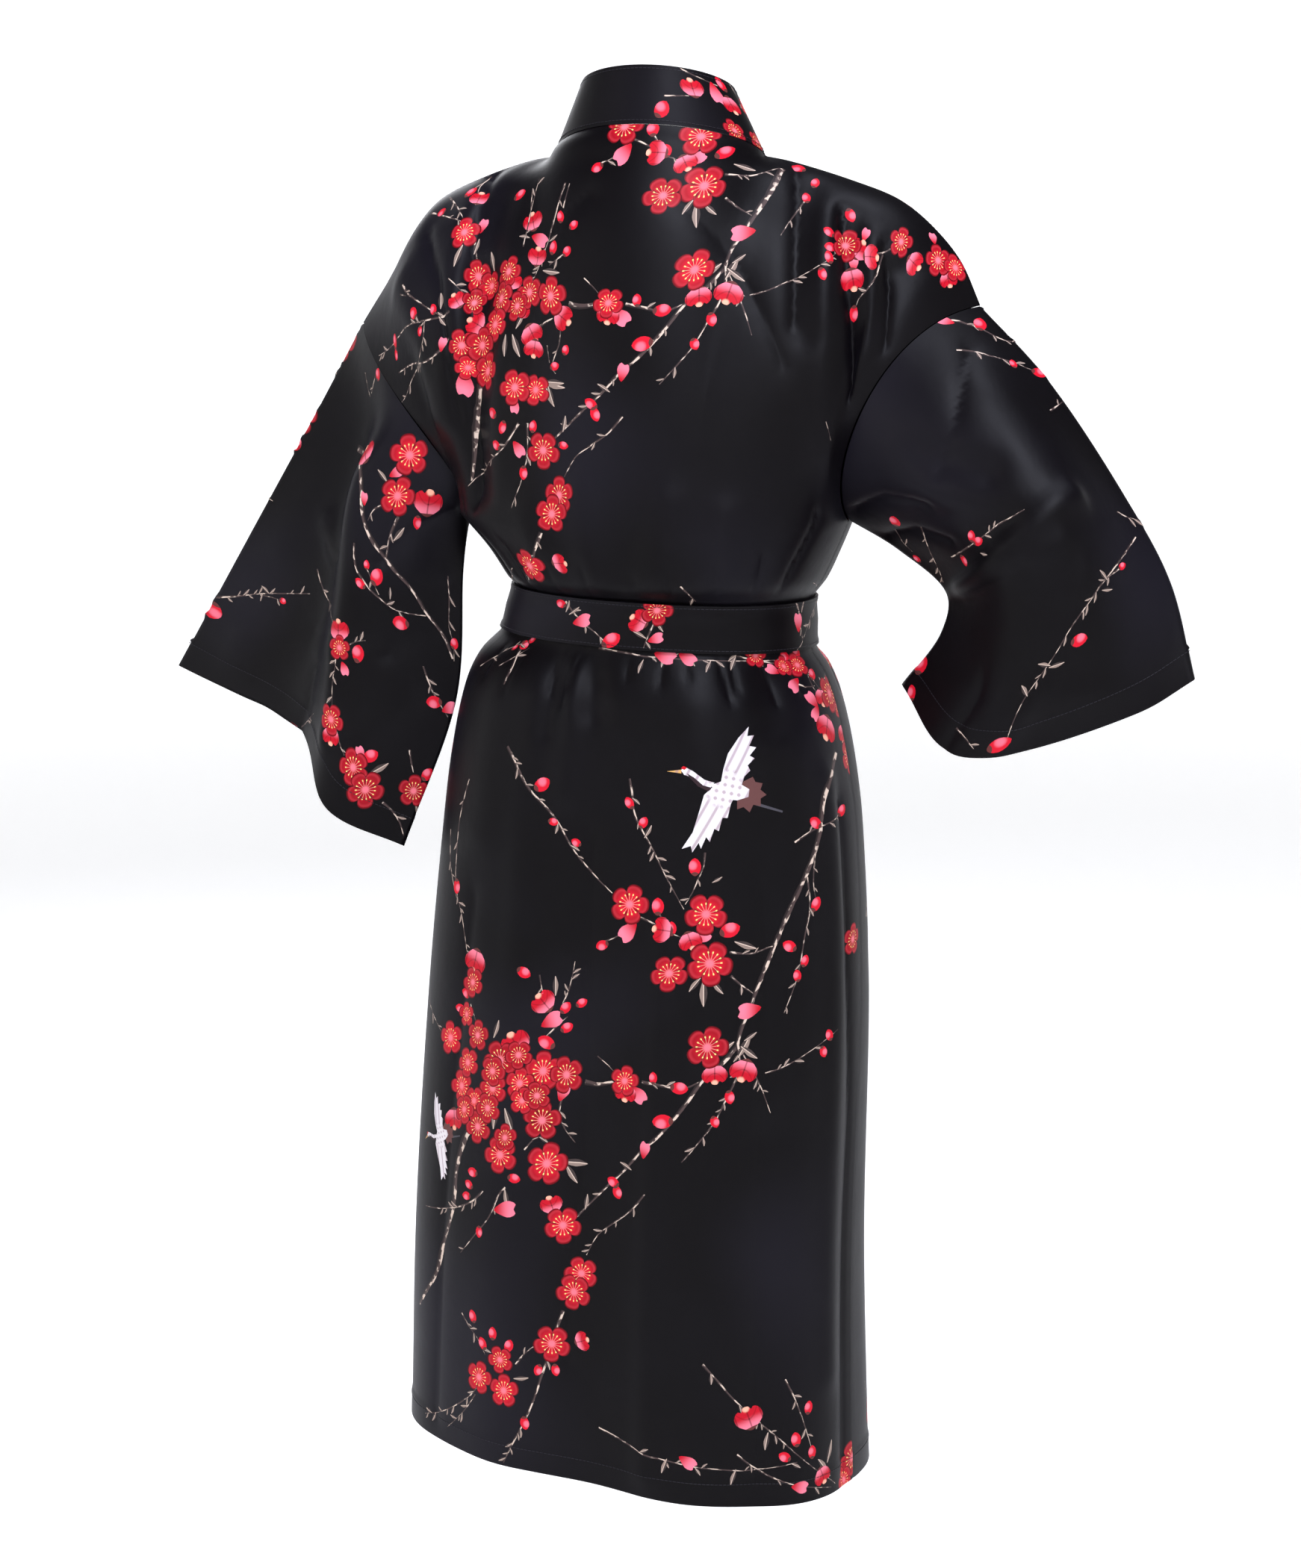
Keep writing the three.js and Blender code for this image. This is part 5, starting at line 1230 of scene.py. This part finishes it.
craneParts = [
    ((70, 68, 74), [(0.5, -0.2), (0.95, -0.33), (0.94, -0.36), (0.5, -0.25)]),
    ((96, 62, 60), [(0.3, 0.12), (0.46, 0.2), (0.5, 0.12), (0.62, 0.1), (0.58, 0), (0.68, -0.08),
        (0.58, -0.14), (0.58, -0.26), (0.46, -0.24), (0.4, -0.36), (0.3, -0.28), (0.2, -0.32),
        (0.2, -0.1)]),
    ((214, 208, 211), [(-0.08, -0.02), (-0.02, 0.3), (0.06, 0.56), (0.24, 0.82), (0.44, 1.02),
        (0.4, 0.86), (0.52, 0.88), (0.42, 0.7), (0.54, 0.68), (0.42, 0.54), (0.5, 0.5), (0.38, 0.38),
        (0.42, 0.3), (0.32, 0.2), (0.24, -0.04)]),
    ((216, 210, 212), [(-0.22, 0.04), (-0.02, 0.12), (0.22, 0.1), (0.4, 0), (0.38, -0.12),
        (0.2, -0.18), (-0.05, -0.16)]),
    ((216, 210, 212), [(-0.14, 0.06), (-0.32, -0.12), (-0.4, -0.42), (-0.48, -0.72), (-0.64, -1),
        (-0.5, -0.94), (-0.47, -1.04), (-0.38, -0.88), (-0.34, -0.97), (-0.27, -0.78), (-0.21, -0.85),
        (-0.15, -0.64), (-0.08, -0.67), (-0.03, -0.46), (0.05, -0.46), (0.1, -0.24), (0.18, -0.08),
        (0.06, 0.06)]),
    ((216, 210, 212), [(-0.16, 0.08), (-0.32, 0.12), (-0.5, 0.24), (-0.64, 0.3), (-0.7, 0.24),
        (-0.64, 0.17), (-0.54, 0.15), (-0.42, 0.04), (-0.25, -0.04)]),
    ((48, 34, 38), [(-0.2, 0.0), (-0.34, 0.03), (-0.48, 0.14), (-0.6, 0.2), (-0.56, 0.14),
        (-0.42, 0.01), (-0.25, -0.06)]),
    ((190, 24, 36), [(-0.7, 0.27), (-0.66, 0.31), (-0.6, 0.29), (-0.64, 0.25)]),
    ((206, 160, 96), [(-0.69, 0.25), (-0.93, 0.2), (-0.69, 0.19)]),
]


def closedCurve(points, count):
    points = np.array([points[-1], *points, points[0], points[1]], float)
    return curveAt(points, 1 + np.arange(count) * (len(points) - 3) / count)


def blossomOutline(count):
    angle = np.arange(count) * 2 * np.pi / count
    saw = np.abs((angle * blossom["petals"] / (2 * np.pi)) % 1 - 0.5) * 2
    return np.stack([np.cos(angle), np.sin(angle)], 1) * (1 - blossom["notch"] * saw**3)[:, None]


outlines = {
    "open": blossomOutline(50),
    "side": closedCurve([(0, -0.8), (0.5, -0.55), (0.98, -0.05), (0.92, 0.5), (0.55, 0.72), (0.36, 0.6),
                         (0.2, 0.84), (-0.2, 0.88), (-0.38, 0.62), (-0.6, 0.74), (-0.96, 0.42),
                         (-0.95, -0.1), (-0.5, -0.55)], 32),
    "bud": closedCurve([(0, 1), (0.5, 0.6), (0.66, 0), (0.45, -0.6), (0.15, -0.9), (-0.15, -0.9),
                        (-0.45, -0.6), (-0.66, 0), (-0.5, 0.6)], 16),
    "leaf": closedCurve([(0, 1), (0.22, 0.5), (0.3, 0.05), (0.16, -0.6), (0, -1), (-0.18, -0.55),
                         (-0.28, 0), (-0.18, 0.55)], 16),
    "petal": closedCurve([(0, -1), (0.4, -0.45), (0.66, 0.2), (0.45, 0.8), (0.08, 0.72), (-0.3, 0.95),
                          (-0.62, 0.35), (-0.42, -0.4)], 18),
}


placesOfRows = {name: rowPlaces(panels[name]["grid"], sheets[name]["flat"][1]) for name in sheets}
rowHeights = np.concatenate([chestShares * 0, skirtHeights[1:]])
underBelt = (rowHeights < coat["beltTop"] - 1) & (rowHeights > coat["beltBottom"] + 1)


class ClothPlaces:  # finds where a point of the picture plane lies on the cloth
    def __init__(self, names):
        eye, aim = np.array(view["place"]) * 1000, np.array(view["aim"]) * 1000
        ahead = (aim - eye) / np.linalg.norm(aim - eye)
        side = np.cross(ahead, (0, 0, 1))
        side = side / np.linalg.norm(side)
        up = np.cross(side, ahead)
        self.spots, self.planes = [], {}
        for name in names:
            toward = panels[name]["grid"] - eye
            far = toward @ ahead
            across = printed["distance"] * (toward @ side) / far
            down = -printed["distance"] * (toward @ up) / far + printed["drop"]
            self.planes[name] = np.stack([across, down], -1)
            shown = (panels[name]["normals"] * toward).sum(-1) < 0
            if name == "back":
                shown[underBelt] = False
            self.spots += [(across[r, c], down[r, c], name, r, c, far[r, c])
                           for r, c in zip(*np.nonzero(shown))]
        self.tree = KDTree(len(self.spots))
        for index, spot in enumerate(self.spots):
            self.tree.insert((spot[0], spot[1], 0), index)
        self.tree.balance()

    def find(self, x, y):
        near = [self.spots[index] for _, index, _ in self.tree.find_range((x, y, 0), printed["reach"])]
        if not near:
            return None
        front = min(spot[5] for spot in near)
        near = [spot for spot in near if spot[5] < front + printed["layer"]]
        spot = min(near, key=lambda item: (item[0] - x) ** 2 + (item[1] - y) ** 2)
        name, r, c = spot[2], spot[3], spot[4]
        plane, cloth = self.planes[name], panels[name]["grid"]
        r0, r1 = max(r - 1, 0), min(r + 1, plane.shape[0] - 1)
        c0, c1 = max(c - 1, 0), min(c + 1, plane.shape[1] - 1)
        turn = np.stack([(plane[r, c1] - plane[r, c0]) / (c1 - c0),
                         (plane[r1, c] - plane[r0, c]) / (r1 - r0)], 1) + np.eye(2) * 1e-3
        back = np.linalg.inv(turn)
        step = np.clip(back @ (np.array([x, y]) - plane[r, c]), -printed["mostSteps"], printed["mostSteps"])
        width, length = sheets[name]["flat"]
        place = (float(np.clip((c + step[0]) / (plane.shape[1] - 1) * width, 0, width)),
                 float(np.interp(r + step[1], np.arange(plane.shape[0]), placesOfRows[name])))
        sizes = np.array([np.linalg.norm(cloth[r, c1] - cloth[r, c0]) / (c1 - c0),
                          np.linalg.norm(cloth[r1, c] - cloth[r0, c]) / (r1 - r0)])
        return name, place, -back[:, 1] * sizes, back[:, 0] * sizes


def clothScale(name, place):  # millimetres of cloth for each millimetre of the flat sheet
    grid = panels[name]["grid"]
    width, length = sheets[name]["flat"]
    rows = placesOfRows[name]
    r = int(np.clip(np.searchsorted(rows, place[1]), 3, grid.shape[0] - 4))
    c = int(np.clip(place[0] / width * (grid.shape[1] - 1), 3, grid.shape[1] - 4))
    across = np.linalg.norm(grid[r, c + 3] - grid[r, c - 3]) / 6 * (grid.shape[1] - 1) / width
    down = np.linalg.norm(grid[r + 3, c] - grid[r - 3, c]) / (rows[r + 3] - rows[r - 3])
    return np.array([max(across, 0.3), max(down, 0.3)])


prints = {name: [] for name in sheets}
chance = np.random.default_rng(printed["seed"])


def addMotif(name, place, up, right, kind, shape, size, turn, tint, lean=1):
    scale = clothScale(name, place)
    up = up / np.linalg.norm(up)
    side = np.array([-up[1], up[0]])
    side = side if side @ right > 0 else -side
    angle = math.radians(turn)
    own = np.stack([side * math.cos(angle) - up * math.sin(angle),
                    side * math.sin(angle) + up * math.cos(angle)], 1)
    own = own * size @ np.diag([lean, 1])
    points = np.array(place) + (np.array(shape) @ own.T) / scale
    frame = np.linalg.inv(own) @ np.diag(scale)
    prints[name].append({"points": points, "kind": kinds[kind], "centre": np.array(place), "frame": frame,
                         "tint": tint})


def addTwig(name, places, width, tint):
    places = np.array(places)
    if len(places) < 2:
        return
    scale = np.array([clothScale(name, place) for place in places]).mean(0)
    line = places * scale
    count = max(int(np.linalg.norm(np.diff(line, axis=0), axis=1).sum() / printed["twigStep"]), 2)
    flat = np.concatenate([line, np.zeros((len(line), 1))], 1)
    line = smoothLine(flat, np.linspace(0, 1, count + 1), 60)[:, :2]
    along = np.gradient(line, axis=0)
    across = np.stack([-along[:, 1], along[:, 0]], 1)
    across /= np.maximum(np.linalg.norm(across, axis=1, keepdims=True), 1e-9)
    tip = twigShape["thickTip"] if width > twigShape["thick"] else twigShape["tip"]
    taper = np.linspace(1, tip, count + 1) * chance.uniform(*twigShape["uneven"], count + 1)
    half = (width / 2 * taper)[:, None]
    points = np.concatenate([line + across * half, (line - across * half)[::-1]]) / scale
    prints[name].append({"points": points, "kind": kinds["twig"], "line": line, "scale": scale,
                         "half": half[:, 0], "across": across, "tint": tint})
    for step in range(2, count):
        if width < twigShape["leafed"] and chance.random() < twigShape["leafShare"]:
            slant = chance.choice([-1, 1]) * chance.uniform(*twigShape["leafSlant"])
            way = along[step] / np.linalg.norm(along[step]) + across[step] * slant
            way /= np.linalg.norm(way)
            size = chance.uniform(*twigShape["leafSize"])
            addMotif(name, (line[step] + way * size) / scale, way, np.array([-way[1], way[0]]), "leaf",
                     outlines["leaf"], size, 0, chance.uniform(0, 1, 3), twigShape["leafWidth"])


def addSpray(table, find, downs=(0,)):
    for down in downs:
        for width, points in table.get("twig", ()):
            run, last = [], None
            for x, y in points + [(None, None)]:
                found = None if x is None else find(x, y + down)
                if found and found[0] == last:
                    run.append(found[1])
                    continue
                if last:
                    addTwig(last, run, width, chance.uniform(0, 1, 3))
                run, last = ([found[1]], found[0]) if found else ([], None)
        for kind in ("leaf", "bud", "petal", "side", "open"):
            for x, y, size, *turn in table.get(kind, ()):
                found = find(x, y + down)
                if not found:
                    continue
                name, place, up, right = found
                turned = turn[0] if turn else chance.uniform(0, 360 / blossom["petals"])
                lean = chance.uniform(*printed["turnedAway"]) if kind == "open" else 1
                size *= printed["blossomSize"]
                addMotif(name, place, up, right, kind, outlines[kind], size, turned, chance.uniform(0, 1, 3),
                         lean)


def addCrane(values, find):
    name, place, up, right = find(*values["place"])
    for shade, shape in craneParts:
        addMotif(name, place, up, right, "crane", shape, values["size"], values["turn"], colour(*shade)[:3],
                 values["lean"])


def onSheet(name, acrossShift, downShift, mirror, shown=None):  # places a spray by the sheet's own sizes
    width, length = sheets[name]["flat"]
    left, top, right, bottom = shown or (-20, -20, width + 20, length + 20)

    def find(x, y):
        place = (width / 2 + mirror * (x + acrossShift), y + downShift)
        if left < place[0] < right and top < place[1] < bottom:
            return name, place, np.array([0, -1.0]), np.array([mirror, 0.0])
        return None
    return find


def onlyOn(found, name):
    return found if found and found[0] == name else None


# The upper repeat of the spray hangs askew: it leans to the left and is drawn up at the belt
hang = {"end": 490, "thickLeft": -66, "thickTop": 40, "thickBottom": 285,
        "leftAtTop": 4, "left": 14, "leftRows": (30, 220), "leftUntil": (90, 150), "leftBelow": (380, 425),
        "right": 10, "rightFrom": (60, 100), "rightRows": (60, 110),
        "drawnRow": 425, "drawn": 0.7, "drawnAcross": (-60, 130)}


def asWorn(x, y):
    if y > hang["end"]:
        return x, y
    if x < hang["thickLeft"] and hang["thickTop"] < y < hang["thickBottom"]:
        return None  # shoulderSpray is there
    left = hang["leftAtTop"] + hang["left"] * ease(y, *hang["leftRows"])
    left = left * (1 - ease(x, *hang["leftUntil"])) * (1 - ease(y, *hang["leftBelow"]))
    right = hang["right"] * ease(x, *hang["rightFrom"]) * (1 - ease(y, *hang["rightRows"]))
    low, high = hang["drawnAcross"]
    drawn = hang["drawn"] * max(y - hang["drawnRow"], 0) if low < x < high else 0
    return float(x - left + right), y - drawn


def onBack(x, y):
    place = asWorn(x, y)
    return onlyOn(seen.find(*place), "back") if place else None


seen = ClothPlaces(["back", "sleeve_left", "sleeve_right", "neckband", "belt"])
repeat = printed["repeat"]
addSpray(spray, onBack, (0, -repeat))
addSpray(shoulderSpray, seen.find)
addSpray(spots, seen.find)
addSpray(leftSleevePrint, seen.find)
for crane in cranes:
    addCrane(crane, seen.find)
addSpray(spray, onSheet("front_left", -70, -40, -1), (0, -repeat))
addSpray(spray, onSheet("front_right", 60, -320, 1), (0, -repeat, repeat))
addSpray(spray, onSheet("sleeve_left", -60, -660, 1, (-20, -20, 316, 355)))
addSpray(spray, onSheet("sleeve_right", -200, -700, 1, (-20, -20, 316, 355)))
addSpray(spray, onSheet("neckband", 118, -640, 1, (-20, -20, 70, 1080)), (0, repeat))
addSpray(spray, onSheet("neckband", -46, 880, 1, (-20, 1420, 70, 2520)), (0, repeat))
print("print laid out:", sum(len(motifs) for motifs in prints.values()), "motifs")

pieces = {name: clothPiece(name, prints[name]) for name in sheets}
pieces["belt_knot"] = knotPiece()
print("pieces made")

# Rows of stitches: the sheet, the place across or down it, and how far in from the ends of the row
stitching = {"pitch": 0.0034, "length": 0.0024, "thickness": 0.0005, "thread": colour(38, 36, 42),
             "sink": 0.1, "rowStep": 2.5}
stitchRows = {
    "back": [("down", 1082, 4)], "front_left": [("down", 1072, 4)], "front_right": [("down", 1072, 4)],
    "sleeve_left": [("down", 312, 4)], "sleeve_right": [("down", 312, 4)],
    "neckband": [("across", 3, 4), ("across", 47, 4)],
    "belt": [("down", 2.5, 3), ("down", 35.5, 3)],
    "belt_end_left": [("across", 2.5, 3), ("across", 35.5, 3), ("down", 259, 3)],
    "belt_end_right": [("across", 2.5, 3), ("across", 35.5, 3), ("down", 237, 3)]}


def stitchTree(material):
    tree = bpy.data.node_groups.new("stitches", "GeometryNodeTree")
    tree.interface.new_socket("Geometry", in_out="INPUT", socket_type="NodeSocketGeometry")
    for label in ("Pitch", "Length", "Thickness"):
        tree.interface.new_socket(label, in_out="INPUT", socket_type="NodeSocketFloat")
    tree.interface.new_socket("Geometry", in_out="OUTPUT", socket_type="NodeSocketGeometry")

    def add(kind, links, settings=None, values=None):
        made = tree.nodes.new(kind)
        for key, value in (settings or {}).items():
            setattr(made, key, value)
        for key, value in (values or {}).items():
            made.inputs[key].default_value = value
        for key, socket in links.items():
            tree.links.new(socket, made.inputs[key])
        return made.outputs

    given = add("NodeGroupInput", {})
    curve = add("GeometryNodeMeshToCurve", {"Mesh": given["Geometry"]})
    spaced = add("GeometryNodeResampleCurve", {"Curve": curve[0], "Length": given["Pitch"]},
                 {"mode": "LENGTH"})
    radius = add("ShaderNodeMath", {0: given["Thickness"]}, {"operation": "MULTIPLY"}, {1: 0.5})
    thread = add("GeometryNodeMeshCylinder", {"Radius": radius[0], "Depth": given["Length"]}, {},
                 {"Vertices": 6})
    way = add("GeometryNodeInputTangent", {})
    turn = add("FunctionNodeAlignRotationToVector", {"Vector": way[0]}, {"axis": "Z"})
    placed = add("GeometryNodeInstanceOnPoints",
                 {"Points": spaced[0], "Instance": thread[0], "Rotation": turn[0]})
    real = add("GeometryNodeRealizeInstances", {0: placed[0]})
    coloured = add("GeometryNodeSetMaterial", {"Geometry": real[0]}, {}, {"Material": material})
    add("NodeGroupOutput", {0: coloured[0]})
    return tree


def stitchPiece(name, tree):
    values, panel = sheets[name], panels[name]
    width, length = values["flat"]
    rows = placesOfRows[name]
    points, edges = [], []
    for way, place, gap in stitchRows[name]:
        reach = width if way == "down" else length
        run = np.linspace(gap, reach - gap, max(int(reach / stitching["rowStep"]), 3))
        u, v = (run, np.full(run.shape, place)) if way == "down" else (np.full(run.shape, place), run)
        row, column = np.interp(v, rows, np.arange(len(rows))), u / width * (panel["grid"].shape[1] - 1)
        lift = values.get("rise", 0) + edgeRise(np.stack([u, v], 1), values) + stitching["sink"]
        at = readGrid(panel["grid"], row, column) + readGrid(panel["normals"], row, column) * lift[:, None]
        edges += [(len(points) + step, len(points) + step + 1) for step in range(len(run) - 1)]
        points += [tuple(point / 1000) for point in at]
    mesh = bpy.data.meshes.new(name + "_rows")
    mesh.from_pydata(points, edges, [])
    holder = addPiece(name + "_rows", mesh)
    modifier = holder.modifiers.new("stitches", "NODES")
    modifier.node_group = tree
    for item in tree.interface.items_tree:
        if item.in_out == "INPUT" and item.name.lower() in stitching:
            modifier[item.identifier] = stitching[item.name.lower()]
    made = bpy.data.meshes.new_from_object(holder.evaluated_get(bpy.context.evaluated_depsgraph_get()))
    holder.modifiers.remove(modifier)
    bpy.data.objects.remove(holder)
    print(name, "stitches have", len(made.polygons), "faces")
    return addPiece(name + "_stitches", made)


threadTree = MaterialTree("thread")
threadPlace = threadTree.node("ShaderNodeTexCoord", output=3)
twist = threadTree.node("ShaderNodeTexWave", {"bands_direction": "DIAGONAL"},
                        {"Vector": threadPlace, "Scale": 900})
threadTree.set(Base_Color=stitching["thread"], Roughness=twist * 0.2 + 0.45, Specular_IOR_Level=0.2)
stitches = stitchTree(threadTree.material)
seamRows = {name: stitchPiece(name, stitches) for name in stitchRows}
print("stitches made")

for name, piece in pieces.items():
    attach(piece, "root")
    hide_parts(name)
for piece in seamRows.values():
    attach(piece, "root")

# Light, floor and camera
studio = {"floor": -1.45, "paleness": colour(250, 250, 250), "glow": 0.44, "air": 0.12, "lit": (0, 0, -0.5),
          "flat": 7, "rings": 11, "middle": 0.5, "bend": 1, "bendSteps": 12, "wall": 4, "sides": 96}


def pointAt(holder, place, aim):
    holder.location = place
    holder.rotation_euler = (Vector(aim) - Vector(place)).to_track_quat("-Z", "Y").to_euler()


def addCamera():
    data = bpy.data.cameras.new("camera")
    data.lens, data.sensor_width = view["lens"], 36
    holder = addPiece("camera", data)
    pointAt(holder, view["place"], view["aim"])
    bpy.context.scene.camera = holder


def addFloor():  # a round floor that curves up into a low wall
    flat, bend, count = studio["flat"], studio["bend"], studio["sides"]
    profile = [(away, 0) for away in np.linspace(studio["middle"], flat, studio["rings"])]
    for turn in np.linspace(0, math.pi / 2, studio["bendSteps"] + 1)[1:]:
        profile.append((flat + bend * math.sin(turn), bend * (1 - math.cos(turn))))
    profile.append((flat + bend, studio["wall"]))
    points = [(0, 0, studio["floor"])]
    for away, high in profile:
        for turn in range(count):
            angle = 2 * math.pi * turn / count
            points.append((away * math.cos(angle), away * math.sin(angle), studio["floor"] + high))
    faces = [(0, 1 + turn, 1 + (turn + 1) % count) for turn in range(count)]
    for row in range(len(profile) - 1):
        for turn in range(count):
            a, b = 1 + row * count + turn, 1 + row * count + (turn + 1) % count
            faces.append((a, a + count, b + count, b))
    mesh = bpy.data.meshes.new("floor")
    mesh.from_pydata(points, [], faces)
    for face in mesh.polygons:
        face.use_smooth = True
    tree = MaterialTree("pale floor")
    tree.set(Base_Color=studio["paleness"], Roughness=0.9, Specular_IOR_Level=0.1,
             Emission_Color=(1, 1, 1, 1), Emission_Strength=studio["glow"])
    mesh.materials.append(tree.material)
    addPiece("floor", mesh)


lamps = [
    {"name": "key", "place": (-1.2, 3.3, 1.1), "size": 0.9, "power": 20, "tint": (0.86, 0.88, 1)},
    {"name": "fill", "place": (2.4, 2.4, 0.6), "size": 1.6, "power": 12, "tint": (1, 0.96, 0.95)},
    {"name": "top", "place": (-0.8, 1.9, 1.7), "size": 0.7, "power": 66, "tint": (0.82, 0.85, 1)},
    {"name": "overhead", "place": (-0.5, 0.3, 2.2), "size": 1.0, "power": 42, "tint": (0.82, 0.85, 1)},
    {"name": "front", "place": (1.6, -2.4, 1.2), "size": 1.6, "power": 45, "tint": (0.95, 0.96, 1)},
]


def addLamp(values):
    data = bpy.data.lights.new(values["name"], "AREA")
    data.energy, data.size, data.color = values["power"], values["size"], values["tint"]
    pointAt(addPiece(values["name"], data), values["place"], studio["lit"])


addCamera()
addFloor()
for values in lamps:
    addLamp(values)
world = bpy.data.worlds.new("studio")
world.use_nodes = True
air = world.node_tree.nodes["Background"]
air.inputs["Color"].default_value = (1, 1, 1, 1)
air.inputs["Strength"].default_value = studio["air"]
bpy.context.scene.world = world
bpy.context.scene.view_settings.view_transform = "Standard"
print("light and camera set")
